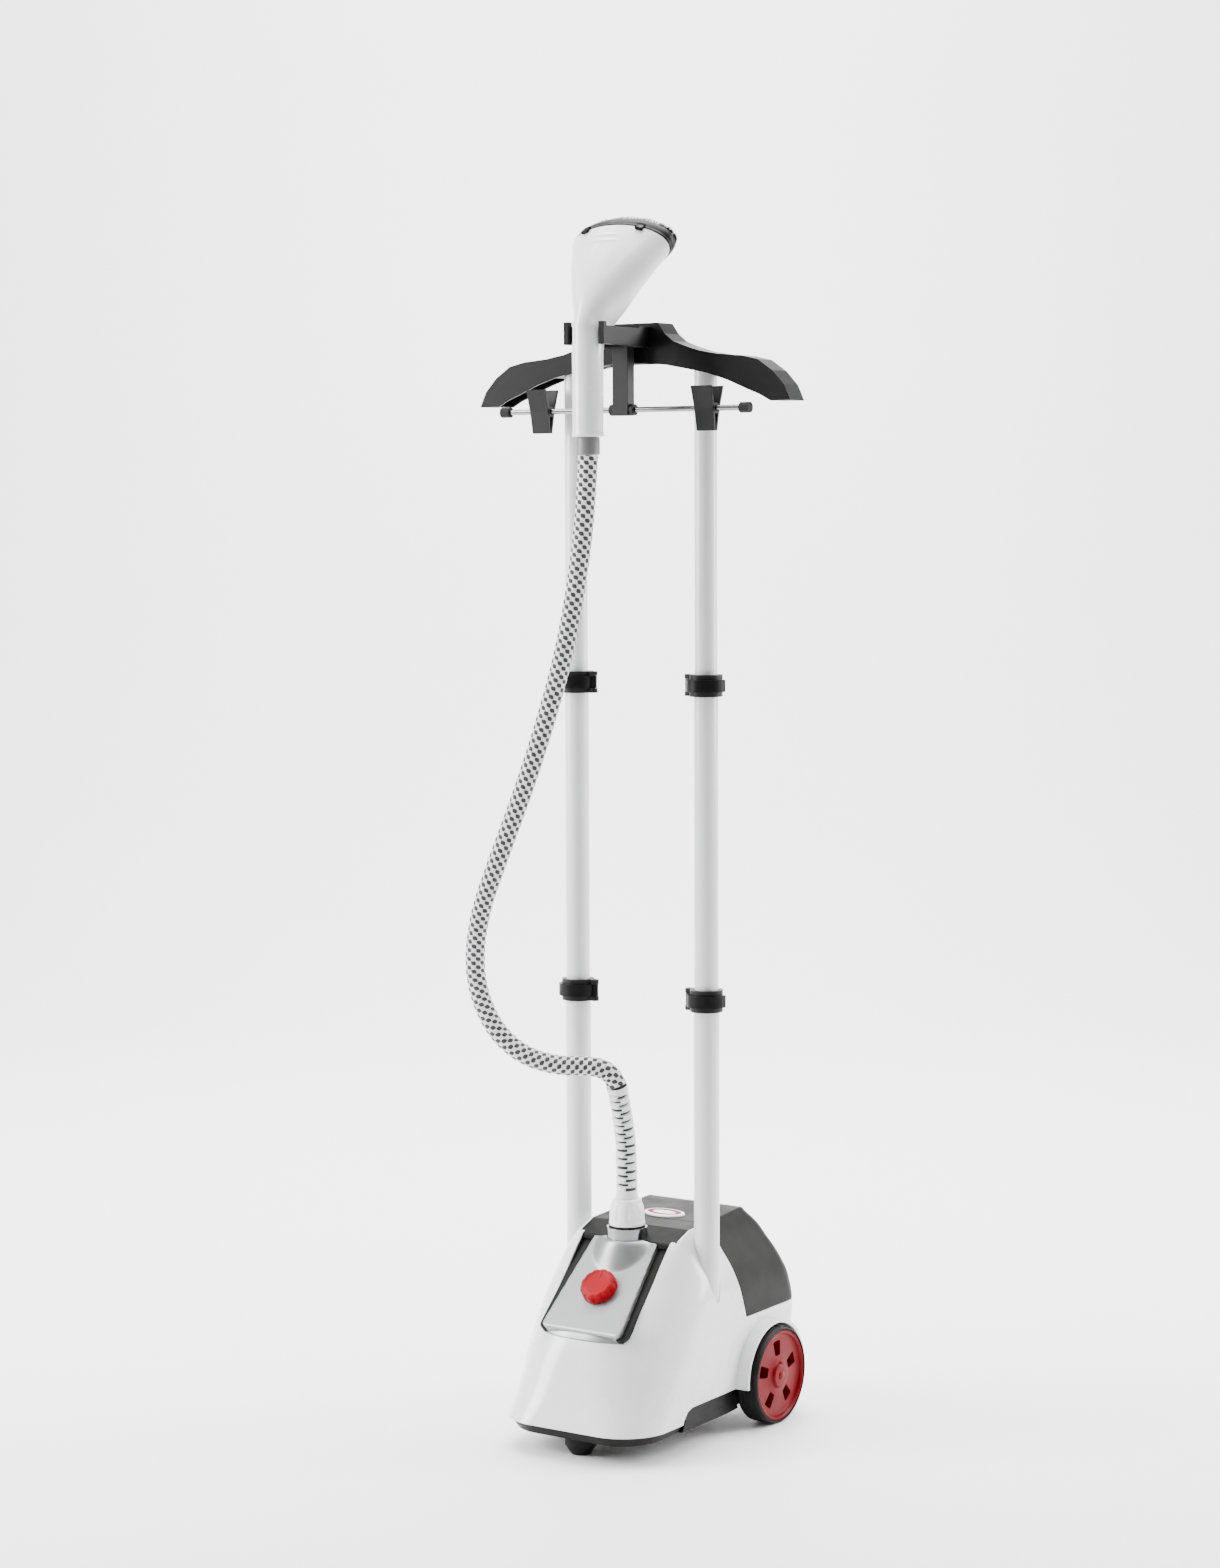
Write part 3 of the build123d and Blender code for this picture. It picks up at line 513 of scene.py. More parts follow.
def ribbed(name, profile, origin, n, ribs, depth, h0, h1):
    vs, fs = [], []
    fine = []
    for (ra, ha), (rb, hb) in zip(profile, profile[1:]):
        k = max(1, round(abs(hb - ha) / 0.0012))
        for q in range(k):
            u = q / k
            fine.append((ra + (rb - ra) * u, ha + (hb - ha) * u))
    fine.append(profile[-1])
    o = Vector(origin)
    for r, h in fine:
        for k in range(n):
            w = 2 * math.pi * k / n
            q = r
            if h0 < h < h1 and r > 0.012:
                e = min(1.0, (h - h0) / 0.002, (h1 - h) / 0.002)
                q = r - depth * e * (0.5 - 0.5 * math.cos(w * ribs)) ** 3
            vs.append(o + Vector((q * math.cos(w), q * math.sin(w), h)))
    for i in range(len(fine) - 1):
        for k in range(n):
            k1 = (k + 1) % n
            fs.append((i * n + k, i * n + k1, (i + 1) * n + k1, (i + 1) * n + k))
    fs.append(tuple(reversed(range(n))))
    fs.append(tuple(range((len(fine) - 1) * n, len(fine) * n)))
    return clean(mesh_object(name, vs, fs), 38)


nut = ribbed("hose_nut_ribbed", nut_profile, (0, -0.048, 0.2668), 120, 10, 0.0009, 0.0055, 0.0275)
finish_piece(nut, "base", M["white_trim"], ["hose_nut"])

cuff = revolve("wand_cuff", [(0.0100, 0.0), (0.0135, 0.0), (0.0143, 0.001), (0.0143, 0.020), (0.0138, 0.0215), (0.0100, 0.0218)],
               (0, -0.128, 1.2272), (0, 0, 1), 96, close=True)
finish_piece(cuff, "wand", M["sleeve_grey"], ["hose_sleeve"])

# ------------------------------------------------------------ base housing
SECT = [(37, 111, -193.0, 167, 62, 38), (75, 114, -179.0, 182.5, 84, 36), (109, 114.5, -168.8, 187.5, 94, 34),
        (143, 114, -158.6, 189.5, 105, 32), (177, 112.2, -131.0, 180, 96, 30), (207, 105.5, -98.0, 164, 74, 28),
        (230, 95, -72.0, 151, 44, 26), (247, 86, -55.0, 142, 30, 24), (262, 74, -38.0, 130, 20, 20), (273, 68, -30.0, 121, 15, 16)]
FOOT_P, TOP_P = (-155.0, 155.0), (-50.0, 250.2)
TANK_FRONT = [(53.0, 143.5), (23.0, 245.0), (15.0, 280.0)]


def monotone(xs, ys, x):
    """monotone cubic through the sections"""
    n = len(xs)
    d = [(ys[i + 1] - ys[i]) / (xs[i + 1] - xs[i]) for i in range(n - 1)]
    g = [d[0]] + [0.0 if d[i - 1] * d[i] <= 0 else 2 * d[i - 1] * d[i] / (d[i - 1] + d[i]) for i in range(1, n - 1)] + [d[-1]]
    i = max(0, min(n - 2, sum(1 for v in xs if v <= x) - 1))
    h = xs[i + 1] - xs[i]
    t = (x - xs[i]) / h
    return ((2 * t ** 3 - 3 * t ** 2 + 1) * ys[i] + (t ** 3 - 2 * t ** 2 + t) * h * g[i] + (-2 * t ** 3 + 3 * t ** 2) * ys[i + 1] + (t ** 3 - t ** 2) * h * g[i + 1])


def section_ring(z, inset):
    xs = [s[0] for s in SECT]
    hw, yf, yr, rf, rr = [monotone(xs, [s[k] for s in SECT], z) for k in (1, 2, 3, 4, 5)]
    hw, yf, yr = hw - inset, yf + inset, yr - inset
    rf, rr = max(rf - inset, 3.0), max(rr - inset, 3.0)
    right = []
    for k in range(8):
        right.append(((hw - rf) * k / 8.0, yf))
    for k in range(28):
        a = -math.pi / 2 + math.pi / 2 * k / 28
        right.append((hw - rf + rf * math.cos(a), yf + rf + rf * math.sin(a)))
    for k in range(30):
        right.append((hw, yf + rf + (yr - rr - yf - rf) * k / 30.0))
    for k in range(14):
        a = math.pi / 2 * k / 14
        right.append((hw - rr + rr * math.cos(a), yr - rr + rr * math.sin(a)))
    for k in range(9):
        right.append(((hw - rr) * (1 - k / 8.0), yr))
    left = [(-x, y) for x, y in reversed(right[1:-1])]
    return right + left


def housing_solid(name, inset, drop, z0=37.0, step=4.0):
    zs = []
    z = z0
    while z < 273.0 - 1e-6:
        zs.append(z)
        z += step
    zs.append(273.0)
    vs, fs = [], []
    for z in zs:
        vs += [(x * MM, y * MM, z * MM) for x, y in section_ring(z, inset)]
    n = len(vs) // len(zs)
    for i in range(len(zs) - 1):
        for k in range(n):
            k1 = (k + 1) % n
            fs.append((i * n + k, i * n + k1, (i + 1) * n + k1, (i + 1) * n + k))
    fs.append(tuple(reversed(range(n))))
    fs.append(tuple(range((len(zs) - 1) * n, len(zs) * n)))
    o = mesh_object(name, vs, fs)
    slope = (TOP_P[1] - FOOT_P[1]) / (TOP_P[0] - FOOT_P[0])
    keep = [(-260, 0), (-260, FOOT_P[1] - slope * (260 + FOOT_P[0]) - drop * 1.35), (TOP_P[0], TOP_P[1] - drop * 1.2),
            (-17, 262.5 - drop), (112, 269.0 - drop), (134, 262.5 - drop), (260, 262.5 - drop), (260, 0)]
    return boolean(o, prism("keep", [(a * MM, b * MM) for a, b in keep], "x", -0.16, 0.16), "INTERSECT")


def P(points):
    return [(a * MM, b * MM) for a, b in points]


def cut(o, other):
    return boolean(o, other, "DIFFERENCE")


def tank_cut_prism(gap, x=0.17):
    g = gap
    return prism("tank_zone", P([(TANK_FRONT[0][0] - g, TANK_FRONT[0][1] - g), (TANK_FRONT[1][0] - g, TANK_FRONT[1][1]), (TANK_FRONT[2][0] - g, TANK_FRONT[2][1]),
                 (TANK_FRONT[2][0] - g, 290), (270, 290), (270, TANK_FRONT[0][1] - g)]), "x", -x, x)


PU = Vector((0, TOP_P[0] - FOOT_P[0], TOP_P[1] - FOOT_P[1])).normalized()
PN = Vector((0, -PU.z, PU.y))


def on_panel(x, s, n):
    return (Vector((x, FOOT_P[0], FOOT_P[1])) + PU * s + PN * n) * MM


def rounded_quad(w0, w1, s0, s1, r, n=10, round_top=False):
    pts = [(-w0, s0), (w0, s0), (w1, s1), (-w1, s1)]
    out = []
    for i, p in enumerate(pts):
        if i >= 2 and not round_top:
            out.append(p)
            continue
        a, b = Vector((*pts[i - 1], 0)), Vector((*pts[(i + 1) % 4], 0))
        c = Vector((*p, 0))
        u, v = (a - c).normalized(), (b - c).normalized()
        half = u.angle(v) / 2
        ctr = c + (u + v).normalized() * (r / math.sin(half))
        t0, t1 = c + u * (r / math.tan(half)), c + v * (r / math.tan(half))
        d0, d1 = t0 - ctr, t1 - ctr
        ang = d0.angle(d1)
        ax = d0.cross(d1).normalized()
        for k in range(n + 1):
            q = Matrix.Rotation(ang * k / n, 3, ax) @ d0
            out.append((ctr.x + q.x, ctr.y + q.y))
    return out


def plate(name, outline, n0, n1):
    m = len(outline)
    vs = [on_panel(x, s, n0) for x, s in outline] + [on_panel(x, s, n1) for x, s in outline]
    fs = [tuple(range(m)), tuple(reversed(range(m, 2 * m)))] + [(k, m + k, m + (k + 1) % m, (k + 1) % m) for k in range(m)]
    o = mesh_object(name, vs, fs, smooth=False)
    bm = bmesh.new()
    bm.from_mesh(o.data)
    bmesh.ops.recalc_face_normals(bm, faces=bm.faces)
    bm.to_mesh(o.data)
    bm.free()
    return o


WY, WR = 0.099, 0.0612
shell = housing_solid("housing_shell", 0.0, 0.0)
inner = housing_solid("inner", 3.0, 3.0, z0=37.0)
# the cavity runs out through the underside
under = prism("under", P([(x, y) for x, y in section_ring(37.0, 3.0)]), "z", 0.030, 0.0375)
for sx in (1, -1):
    f = cyl("fender", (sx * 0.097, WY, WR), (sx * 0.131, WY, WR), WR + 0.0095, 128)
    boolean(f, prism("clip", P([(-300, 55), (300, 55), (300, 200), (-300, 200)]), "x", -0.2, 0.2), "INTERSECT")
    boolean(shell, f, "UNION")
cut(shell, inner)
cut(shell, under)
for sx in (1, -1):
    cut(shell, cyl("well", (sx * 0.1005, WY, WR), (sx * 0.150, WY, WR), WR + 0.005, 128))
cut(shell, prism("skirt", P([(-96, 20), (-91, 42), (-84, 52), (-74, 55.5), (210, 55.5), (210, 20)]), "x", -0.14, 0.14))
cut(shell, tank_cut_prism(0.6))
cut(shell, prism("deck_zone", P([(-46, 240.3), (-14, 251.0), (40, 253.0), (40, 320), (-46, 320)]), "x", -0.0718, 0.0718))
cut(shell, plate("bezel", rounded_quad(58.9, 65.2, -3.1, 56, 9.5), -13.0, 40))
cut(shell, plate("bezel_top", rounded_quad(65.2, 65.2, 50, 152, 3), -13.0, 40))
cut(shell, prism("lip_zone", [(-0.0590, -0.20), (0.0590, -0.20), (0.0590, -0.120), (-0.0590, -0.120)], "z", 0.1430, 0.170))
for sx in (1, -1):
    cut(shell, cyl("pole", (sx * 0.096, -0.013, 0.061), (sx * 0.096, -0.013, 0.33), 0.01625, 64))
cut(shell, cyl("axle", (-0.101, WY, WR), (0.101, WY, WR), 0.006, 32))
cut(shell, prism("slot", [(-0.071, 0.150), (-0.053, 0.150), (-0.053, 0.200), (-0.071, 0.200)], "z", 0.066, 0.084))
clean(shell, 32)
M["shell_smooth"] = material("shell_smooth", (0.70, 0.705, 0.71), 0.26, bump=0.012, grain=500, blotch=5, vary=0.012, rvary=0.15, coat=0.4, coat_rough=0.10, edge=0.0013)
finish_piece(shell, "base", M["shell_smooth"], ["main_shell"])

tank = housing_solid("tank_body", 0.0, 0.0, z0=101.0)
boolean(tank, prism("zone", P([TANK_FRONT[0], TANK_FRONT[1], TANK_FRONT[2], (260, 280), (260, TANK_FRONT[0][1])]), "x", -0.15, 0.15), "INTERSECT")
cut(tank, cyl("cap_hole", (0, 0.110, 0.140), (0, 0.110, 0.160), 0.0163, 64))
clean(tank, 32)
M["tank_smooth"] = material("tank_smooth", (0.007, 0.007, 0.0065), 0.46, grain=1500, bump=0.03, vary=0.06, rvary=0.12, spec=0.11, edge=0.0028)
finish_piece(tank, "tank", M["tank_smooth"], ["water_tank"])

# ------------------------------------------------------- control panel
SX, SY = 0.0, -48.0
vs, fs = [], []
NX, NS = 84, 100
top_idx = []
for j in range(NS + 1):
    s = -2.6 + 141.6 * j / NS
    w = 58.0 + (47.0 - 58.0) * (s + 2.6) / 141.6
    for i in range(NX + 1):
        x = -62.0 + 124.0 * i / NX
        p = Vector((x, FOOT_P[0], FOOT_P[1])) + PU * s + PN * 0.4
        r = math.hypot(x - SX, p.y - SY)
        k = max(0.0, min(1.0, (44.0 - r) / 17.0))
        k = k * k * (3 - 2 * k)
        dz = max(0.0, 251.5 - p.z) * k
        # the lower edge and the sides roll over
        e = min(1.0, max(0.0, (s + 2.6) / 3.4), 1.0)
        roll = -2.4 * (1 - math.sqrt(max(0.0, 1 - (1 - e) ** 2)))
        es = min(1.0, max(0.0, (w - abs(x)) / 2.4))
        roll2 = -1.6 * (1 - math.sqrt(max(0.0, 1 - (1 - es) ** 2)))
        q = p + Vector((0, 0, dz)) + PN * min(roll, roll2)
        vs.append(q * MM)
nt_ = len(vs)
for j in range(NS + 1):
    s = -2.6 + 141.6 * j / NS
    for i in range(NX + 1):
        x = -62.0 + 124.0 * i / NX
        vs.append(on_panel(x, s, -12.4))
W = NX + 1
for j in range(NS):
    for i in range(NX):
        a = j * W + i
        fs.append((a, a + 1, a + 1 + W, a + W))
        fs.append((nt_ + a, nt_ + a + W, nt_ + a + 1 + W, nt_ + a + 1))
for i in range(NX):
    fs.append((i + 1, i, nt_ + i, nt_ + i + 1))
    a = NS * W + i
    fs.append((a, a + 1, nt_ + a + 1, nt_ + a))
for j in range(NS):
    a = j * W
    fs.append((a, a + W, nt_ + a + W, nt_ + a))
    a = j * W + NX
    fs.append((a + W, a, nt_ + a, nt_ + a + W))
panel = mesh_object("panel_skin", vs, fs)
bm = bmesh.new(); bm.from_mesh(panel.data); bmesh.ops.recalc_face_normals(bm, faces=bm.faces); bm.to_mesh(panel.data); bm.free()
boolean(panel, plate("outline", rounded_quad(58, 47, -2.6, 139, 9), -14.0, 45.0), "INTERSECT")
cut(panel, cyl("socket_hole", (0, -0.048, 0.19), (0, -0.048, 0.33), 0.0256, 96))
cut(panel, cyl("knob_hole", on_panel(0, 62, -40), on_panel(0, 62, 12), 0.0062, 48))
clean(panel, 34)
M["panel_paint"] = material("panel_paint", (0.27, 0.273, 0.278), 0.38, metal=0.7, grain=2600, bump=0.04, vary=0.03, rvary=0.1, edge=0.0012)
finish_piece(panel, "base", M["panel_paint"], ["control_panel"])

lip = housing_solid("panel_lip", -0.5, 0.0, z0=137.0, step=2.0)
boolean(lip, prism("zone", [(-0.0580, -0.20), (0.0580, -0.20), (0.0580, -0.120), (-0.0580, -0.120)], "z", 0.1438, 0.1700), "INTERSECT")
cut(lip, housing_solid("core", 6.0, 8.0, z0=137.0, step=4.0))
cut(lip, plate("above", rounded_quad(80, 80, -60, 200, 4), -0.35, 40))
clean(lip, 34)
finish_piece(lip, "base", M["panel_paint"])

# --------------------------------------------------------------- the knob
KC = on_panel(0, 62, 0.4)
prof = [(0.0, 0.8), (22.6, 0.8), (23.4, 1.4), (23.5, 3.0), (23.0, 9.5), (22.2, 11.8), (20.8, 13.2), (18.6, 13.9), (17.2, 13.7), (15.8, 13.0), (8.0, 12.5), (0.0, 12.4)]
nk = 168
a_, b_ = Vector((1, 0, 0)), PU
vs, fs = [], []
fine = []
for (ra, ha), (rb, hb) in zip(prof, prof[1:]):
    q = max(1, round(math.hypot(rb - ra, hb - ha) / 1.2))
    fine += [(ra + (rb - ra) * i / q, ha + (hb - ha) * i / q) for i in range(q)]
fine.append(prof[-1])
fine = fine[1:-1]
for r, h in fine:
    for k in range(nk):
        w = 2 * math.pi * k / nk
        g = 0.0
        if r > 15 and h > 1.6:
            e = min(1.0, (h - 1.6) / 2.0) * min(1.0, max(0.0, (r - 15) / 5.0))
            g = 1.05 * e * (0.5 - 0.5 * math.cos(12 * w)) ** 2
        lift = 0.0
        if abs(math.remainder(w - math.pi / 2, 2 * math.pi)) < 0.09 and 8 < r < 19 and h > 12:
            lift = 0.5
        vs.append(KC + (a_ * ((r - g) * math.cos(w)) + b_ * ((r - g) * math.sin(w)) + PN * (h + lift)) * MM)
m_ = len(fine)
for i in range(m_ - 1):
    for k in range(nk):
        k1 = (k + 1) % nk
        fs.append((i * nk + k, i * nk + k1, (i + 1) * nk + k1, (i + 1) * nk + k))
fs.append(tuple(reversed(range(nk))))
fs.append(tuple(range((m_ - 1) * nk, m_ * nk)))
knob = clean(mesh_object("knob_fluted", vs, fs), 50)
finish_piece(knob, "knob", M["red_knob"], ["control_knob"])

# ------------------------------------------------------------- oval badge
bslope = math.atan2(269.0 - 262.5, 112.0 + 17.0)
by = 39.0
bz_ = 262.5 + (by + 17.0) * math.tan(bslope)
bu, bn = Vector((0, math.cos(bslope), math.sin(bslope))), Vector((0, -math.sin(bslope), math.cos(bslope)))
rings = [(29.0, 17.0, -1.0), (29.0, 17.0, 1.0), (28.4, 16.4, 1.9), (27.4, 15.4, 2.3), (24.4, 13.0, 2.4), (23.8, 12.4, 2.1), (22.4, 11.2, 2.1), (16.6, 6.6, 2.1), (16.0, 6.2, 2.5), (8.0, 3.0, 2.7)]
nb = 96
vs, fs = [], []
for ra, rb, h in rings:
    for k in range(nb):
        w = 2 * math.pi * k / nb
        vs.append((Vector((0, by, bz_)) + Vector((1, 0, 0)) * (ra * math.cos(w)) + bu * (rb * math.sin(w)) + bn * h) * MM)
for i in range(len(rings) - 1):
    for k in range(nb):
        k1 = (k + 1) % nb
        fs.append((i * nb + k, i * nb + k1, (i + 1) * nb + k1, (i + 1) * nb + k))
fs.append(tuple(reversed(range(nb))))
fs.append(tuple(range((len(rings) - 1) * nb, len(rings) * nb)))
badge = clean(mesh_object("badge_oval", vs, fs), 30)
finish_piece(badge, "tank", M["white_trim"], ["badge_plate"])
M["badge_red"] = material("badge_red", (0.20, 0.0006, 0.003), 0.4, vary=0.05, edge=0, spec=0.10)
M["badge_dark"] = material("badge_dark", (0.006, 0.006, 0.006), 0.5, vary=0.05, edge=0)
badge.data.materials.append(M["badge_red"])
badge.data.materials.append(M["badge_dark"])
for p_ in badge.data.polygons:
    i0 = min(p_.vertices) // nb
    if len(p_.vertices) == 4:
        p_.material_index = {4: 2, 5: 1, 6: 1}.get(i0, 0)

# ----------------------------------------------------------------- wheels
def wheel(side):
    sx = 1 if side == "right" else -1
    prof = [(0.0042, 0.1060), (0.0125, 0.1060), (0.0130, 0.1075), (0.0130, 0.1180), (0.0150, 0.1215), (0.0450, 0.1225), (0.0520, 0.1200),
            (0.0530, 0.1080), (0.0555, 0.1072), (0.0574, 0.1078), (0.0578, 0.1090), (0.0578, 0.1352), (0.0572, 0.1366), (0.0556, 0.1372), (0.0540, 0.1366), (0.0530, 0.1352),
            (0.0522, 0.1330), (0.0500, 0.1318), (0.0470, 0.1316), (0.0300, 0.1326), (0.0185, 0.1332), (0.0165, 0.1342), (0.0156, 0.1362), (0.0146, 0.1376), (0.0125, 0.1380), (0.0042, 0.1380)]
    h = revolve(f"hub_{side}", [(r, x) for r, x in prof], (0, WY, WR), (sx, 0, 0), 128, close="ring")
    for k in range(5):
        a = math.radians(20 + 72 * k)
        pts = []
        for cx, cy, q0 in ((1, 1, 0), (-1, 1, 90), (-1, -1, 180), (1, -1, 270)):
            for t in range(5):
                w = math.radians(q0 + 90 * t / 4)
                wid = 8.2 if cx > 0 else 6.2
                rr = 34.5 + cx * 7.0 + 2.4 * math.cos(w)
                tt = cy * (wid - 2.4) + 2.4 * math.sin(w)
                pts.append(((WY * 1000 + rr * math.cos(a) - tt * math.sin(a)) * MM, (WR * 1000 + rr * math.sin(a) + tt * math.cos(a)) * MM))
        x0, x1 = sorted((sx * 0.112, sx * 0.150))
        cut(h, prism("window", pts, "x", x0, x1))
    clean(h, 34)
    finish_piece(h, f"wheel_{side}", M["red_hub"], [f"wheel_{side}_hub"])
    tp = [(0.0580, 0.1062), (0.0596, 0.1062), (0.0608, 0.1076), (0.0612, 0.1100)]
    x = 0.1130
    while x < 0.1322:
        tp += [(0.0612, x), (0.0606, x + 0.0004), (0.0606, x + 0.0011), (0.0612, x + 0.0015)]
        x += 0.0056
    tp += [(0.0612, 0.1342), (0.0608, 0.1364), (0.0598, 0.1377), (0.0586, 0.1379), (0.0580, 0.1370)]
    t = revolve(f"tyre_{side}", tp, (0, WY, WR), (sx, 0, 0), 160, close="ring")
    clean(t, 40)
    finish_piece(t, f"wheel_{side}", M["tyre_black"], [f"wheel_{side}_tyre"])


wheel("right")
wheel("left")
for side, sx in (("right", 1), ("left", -1)):
    c = revolve(f"hub_cap_{side}", [(0.0004, 0.1400), (0.0030, 0.1398), (0.0052, 0.1391), (0.0066, 0.1380), (0.0068, 0.1372), (0.0004, 0.1370)], (0, WY, WR), (sx, 0, 0), 64, close="ring")
    clean(c, 40)
    finish_piece(c, f"wheel_{side}", M["red_hub"])

# ------------------------------------------------- chassis pan between the wheels
pan = prism("chassis_pan", P([(x, y) for x, y in section_ring(37.0, 3.6)]), "z", 0.0262, 0.0420)
boolean(pan, prism("zone", P([(-89, 26.2), (-80, 42), (150, 42), (150, 34), (140, 30), (60, 28.5), (20, 26.2)]), "x", -0.14, 0.14), "INTERSECT")
for sx in (1, -1):
    cut(pan, cyl("well", (sx * 0.1000, WY, WR), (sx * 0.150, WY, WR), WR + 0.0045, 96))
cut(pan, prism("hollow", [(-0.096, -0.076), (0.096, -0.076), (0.096, 0.136), (-0.096, 0.136)], "z", 0.0292, 0.060))
clean(pan, 30)
finish_piece(pan, "base", M["chassis_black"])

# ---------------------------------------------------------------- the wand
HEAD = [(-128, 1352, 19.1, 19.1, 0), (-126.5, 1362, 19.2, 20.0, 1), (-116, 1384, 20.6, 31, 8), (-103, 1410, 35, 31, 26), (-84, 1442, 52, 30.5, 43), (-55, 1479.6, 70, 31.5, 58)]
us = [0.0]
for a, b in zip(HEAD, HEAD[1:]):
    us.append(us[-1] + math.hypot(b[0] - a[0], b[1] - a[1]))
RIMC = Vector((0, -55, 1479.6))
TAU = math.radians(58)
RN = Vector((0, math.sin(TAU), math.cos(TAU)))
RB = Vector((0, -math.cos(TAU), math.sin(TAU)))
NW = 128


def head_ring(u, grow=0.0):
    y, z, ra, rb, ang = [monotone(us, [h[k] for h in HEAD], u) for k in range(5)]
    a = math.radians(ang)
    bdir = Vector((0, -math.cos(a), math.sin(a)))
    return [Vector((0, y, z)) + Vector((1, 0, 0)) * ((ra + grow) * math.cos(2 * math.pi * k / NW)) + bdir * ((rb + grow) * math.sin(2 * math.pi * k / NW)) for k in range(NW)]


rows = []
for z, r in ((1262, 12.2), (1249, 12.2), (1249, 18.0), (1249.6, 19.2), (1250.6, 19.5), (1253.2, 19.5), (1254.2, 19.2), (1254.9, 18.8), (1256.5, 18.7)):
    rows.append([Vector((r * math.cos(2 * math.pi * k / NW), -128 - r * math.sin(2 * math.pi * k / NW), z)) for k in range(NW)])
for i in range(1, 18):
    z = 1256.5 + (1352 - 1256.5) * i / 18
    r = 18.7 + 0.4 * i / 18
    rows.append([Vector((r * math.cos(2 * math.pi * k / NW), -128 - r * math.sin(2 * math.pi * k / NW), z)) for k in range(NW)])
total_u = us[-1]
steps = 110
for i in range(steps + 1):
    u = total_u * i / steps
    ring = head_ring(u)
    d = total_u - u
    out = []
    for k, p in enumerate(ring):
        w = 2 * math.pi * k / NW
        q = p
        front = math.sin(w)
        c = math.cos(w)
        if front > 0.2:
            g = 0.0
            for dist, half in ((13.0, 0.30), (21.0, 0.42)):
                e = max(0.0, 1 - abs(c + 0.12) / half)
                g += 0.9 * math.exp(-((d - dist) / 1.3) ** 2) * min(1.0, e * 4)
            nrm = (p - (Vector((0, 0, 0)) + Vector((0, p.y * 0 + ring[0].y, ring[0].z)))).normalized()
            q = p + nrm * g
        out.append(q)
    rows.append(out)


def ellipse_row(n, ra, rb):
    return [RIMC + RN * n + Vector((1, 0, 0)) * (ra * math.cos(2 * math.pi * k / NW)) + RB * (rb * math.sin(2 * math.pi * k / NW)) for k in range(NW)]


rows.append(ellipse_row(0.5, 69.6, 31.2))
rows.append(ellipse_row(0.6, 68.6, 30.2))
rows.append(ellipse_row(0.2, 67.4, 29.2))
rows.append(ellipse_row(-4.0, 65.6, 27.6))
rows.append(ellipse_row(-4.2, 40.0, 14.0))
vs = [p * MM for r in rows for p in r]
fs = []
for i in range(len(rows) - 1):
    for k in range(NW):
        k1 = (k + 1) % NW
        fs.append((i * NW + k, i * NW + k1, (i + 1) * NW + k1, (i + 1) * NW + k))
fs.append(tuple(range((len(rows) - 1) * NW, len(rows) * NW)))
fs.append(tuple(reversed(range(NW))))
wand = clean(mesh_object("wand_body", vs, fs), 38)
M["wand_white"] = material("wand_white", (0.70, 0.705, 0.71), 0.24, bump=0.012, grain=500, blotch=8, vary=0.012, rvary=0.15, coat=0.4, coat_rough=0.10, edge=0)
finish_piece(wand, "wand", M["wand_white"], ["wand_shell"])

# brush: padded frame with a bristle fringe and two clips
NP_ = 160
prow = []
for n, g in ((0.6, -1.5), (0.7, -0.3), (1.6, 0.3), (4.0, 0.6), (4.6, 0.2), (5.2, 0.6), (12.0, 0.7), (15.5, 0.3), (17.6, -1.2), (18.8, -3.2), (19.2, -6.0)):
    prow.append([RIMC + RN * n + Vector((1, 0, 0)) * ((70.3 + g) * math.cos(2 * math.pi * k / NP_)) + RB * ((31.8 + g) * math.sin(2 * math.pi * k / NP_)) for k in range(NP_)])
for n, ra, rb in ((19.0, 54.0, 14.5), (18.2, 52.2, 12.9), (4.0, 51.0, 12.0), (0.6, 51.0, 12.0)):
    prow.append([RIMC + RN * n + Vector((1, 0, 0)) * (ra * math.cos(2 * math.pi * k / NP_)) + RB * (rb * math.sin(2 * math.pi * k / NP_)) for k in range(NP_)])
vs = [p * MM for r in prow for p in r]
fs = []
for i in range(len(prow)):
    i1 = (i + 1) % len(prow)
    for k in range(NP_):
        k1 = (k + 1) % NP_
        fs.append((i * NP_ + k, i * NP_ + k1, i1 * NP_ + k1, i1 * NP_ + k))
pad = clean(mesh_object("brush_pad", vs, fs), 45)
finish_piece(pad, "brush", M["hanger_black"], ["brush_frame"])

vs, fs = [], []
import random
rnd = random.Random(7)
for ring, (ra, rb, count) in enumerate(((66.0, 28.0, 96), (62.0, 24.5, 84), (57.5, 20.0, 70))):
    for k in range(count):
        w = 2 * math.pi * (k + 0.5 * (ring % 2)) / count + rnd.uniform(-0.01, 0.01)
        p = RIMC + RN * 18.4 + Vector((1, 0, 0)) * (ra * math.cos(w)) + RB * (rb * math.sin(w))
        out = (Vector((1, 0, 0)) * math.cos(w) + RB * math.sin(w)) * rnd.uniform(0.02, 0.16) + RN
        out.normalize()
        hgt = rnd.uniform(7.0, 9.0)
        a = out.orthogonal().normalized()
        b = out.cross(a)
        i0 = len(vs)
        for f_, rad in ((0.0, 1.15), (0.75, 1.0), (1.0, 0.55)):
            for q in range(7):
                t_ = 2 * math.pi * q / 7
                vs.append((p + out * (hgt * f_) + (a * math.cos(t_) + b * math.sin(t_)) * rad) * MM)
        for l_ in range(2):
            for q in range(7):
                q1 = (q + 1) % 7
                fs.append((i0 + l_ * 7 + q, i0 + l_ * 7 + q1, i0 + (l_ + 1) * 7 + q1, i0 + (l_ + 1) * 7 + q))
        fs.append(tuple(i0 + 14 + q for q in range(7)))
        fs.append(tuple(i0 + q for q in reversed(range(7))))
tufts = mesh_object("brush_fringe", vs, fs)
finish_piece(tufts, "brush", M["bristle_black"], ["brush_bristles"])

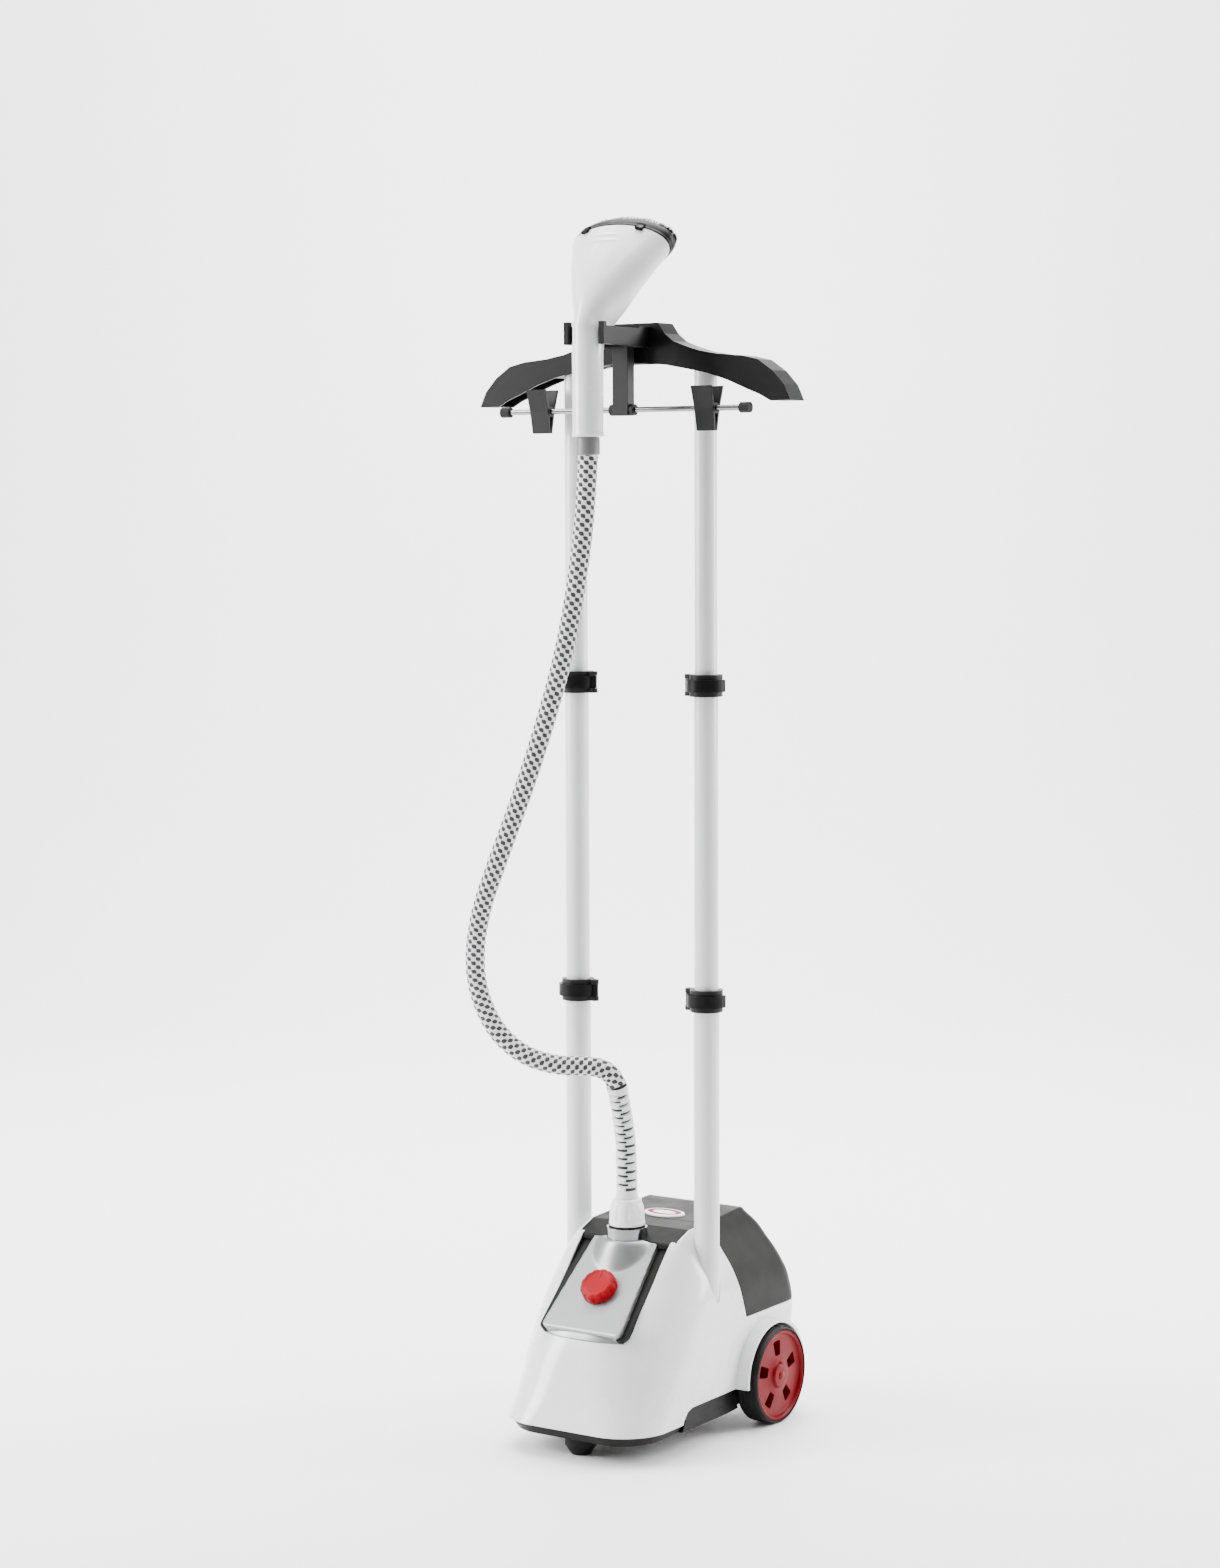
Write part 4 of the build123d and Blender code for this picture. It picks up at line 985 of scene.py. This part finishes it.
for idx, th in enumerate((57, 125)):
    w = math.radians(th)
    c = RIMC + Vector((1, 0, 0)) * (70.0 * math.cos(w)) + RB * (31.5 * math.sin(w))
    nrm = (Vector((1, 0, 0)) * (31.5 * math.cos(w)) + RB * (70.0 * math.sin(w))).normalized()
    tan = RN.cross(nrm)
    bm = bmesh.new()
    bmesh.ops.create_cube(bm, size=1.0)
    for v in bm.verts:
        x, y, z = v.co
        v.co = (c + nrm * (1.2 + y * 2.6) + tan * (x * 8.5) + RN * (-0.6 + z * 9.0)) * MM
    bmesh.ops.bevel(bm, geom=bm.edges[:], offset=0.0010, segments=3, affect="EDGES", profile=0.6)
    me = bpy.data.meshes.new(f"brush_clip_{idx}")
    bm.to_mesh(me)
    bm.free()
    o = link(bpy.data.objects.new(f"brush_clip_{idx}", me))
    clean(o, 60)
    finish_piece(o, "brush", M["hanger_black"])


# ------------------------------------------------ materials of the CAD nodes
SLOT = {s["node"]: s["material_slot"] for s in frame["record"]["subparts"]}
for node, obj in NODES.items():
    mat = M[SLOT[node]]
    obj.data.materials.clear()
    obj.data.materials.append(mat)

# ------------------------------------------------------------------- stage
def backdrop():
    """floor that rolls up into a pale wall behind the object"""
    f2 = Vector((-0.55105, 0.83031, 0)).normalized()
    r = Vector((f2.y, -f2.x, 0))
    prof = [(-9.0, 0.0), (-3.0, 0.0), (0.0, 0.0), (3.2, 0.0)]
    for k in range(1, 17):
        t = math.pi / 2 * k / 16
        prof.append((3.2 + 2.4 * math.sin(t), 2.4 - 2.4 * math.cos(t)))
    prof.append((5.6, 7.0))
    vs, fs = [], []
    for d, z in prof:
        for k in range(13):
            w = -9 + 18 * k / 12
            vs.append((*(f2 * d + r * w).xy, z))
    for i in range(len(prof) - 1):
        for k in range(12):
            a = i * 13 + k
            fs.append((a, a + 13, a + 14, a + 1))
    return mesh_object("floor", vs, fs)


floor = backdrop()
fm = material("floor_pale", (0.90, 0.90, 0.90), 0.5, grain=60, bump=0.01, vary=0.004, rvary=0.05, edge=0)
floor.data.materials.append(fm)

world = bpy.data.worlds.new("studio")
world.use_nodes = True
bpy.context.scene.world = world
wn, wl = world.node_tree.nodes, world.node_tree.links
bg = wn["Background"]
wt = wn.new("ShaderNodeTexCoord")
dot = wn.new("ShaderNodeVectorMath"); dot.operation = "DOT_PRODUCT"
wl.new(wt.outputs["Generated"], dot.inputs[0])
dot.inputs[1].default_value = (0.30, -0.45, -0.35)
mr = wn.new("ShaderNodeMapRange"); mr.interpolation_type = "SMOOTHSTEP"
mr.inputs["From Min"].default_value = -0.45; mr.inputs["From Max"].default_value = 0.55
mr.inputs["To Min"].default_value = 1.25; mr.inputs["To Max"].default_value = 0.24
wl.new(dot.outputs["Value"], mr.inputs["Value"]); wl.new(mr.outputs[0], bg.inputs[1])
bg.inputs[0].default_value = (1.0, 1.0, 1.0, 1)


def area(name, loc, target, size, power, size_y=None):
    d = bpy.data.lights.new(name, "AREA")
    d.energy = power
    d.size = size
    if size_y:
        d.shape = "RECTANGLE"
        d.size_y = size_y
    o = link(bpy.data.objects.new(name, d))
    o.location = loc
    o.rotation_euler = (Vector(target) - Vector(loc)).to_track_quat("-Z", "Y").to_euler()
    return o


BACK = Vector((-0.55105, 0.83031, 0)).normalized()
SIDE = Vector((BACK.y, -BACK.x, 0))
p = SIDE * -3.0 - BACK * 0.15
area("key_left", (p.x, p.y, 1.9), (0, 0, 0.7), 1.3, 265, 2.8)
p = SIDE * 3.0 + BACK * 0.45
area("key_right", (p.x, p.y, 1.9), (0, 0, 0.7), 1.3, 185, 2.8)
p = BACK * -0.3
area("top_soft", (p.x, p.y, 3.4), (0, 0, 0.3), 1.6, 55)
p, q = BACK * 1.6, BACK * 5.4
area("wall_light", (p.x, p.y, 4.2), (q.x, q.y, 1.0), 3.0, 620)
p, q = BACK * 1.2, BACK * 3.0
area("floor_light", (p.x, p.y, 4.0), (q.x, q.y, 0.0), 3.0, 160)
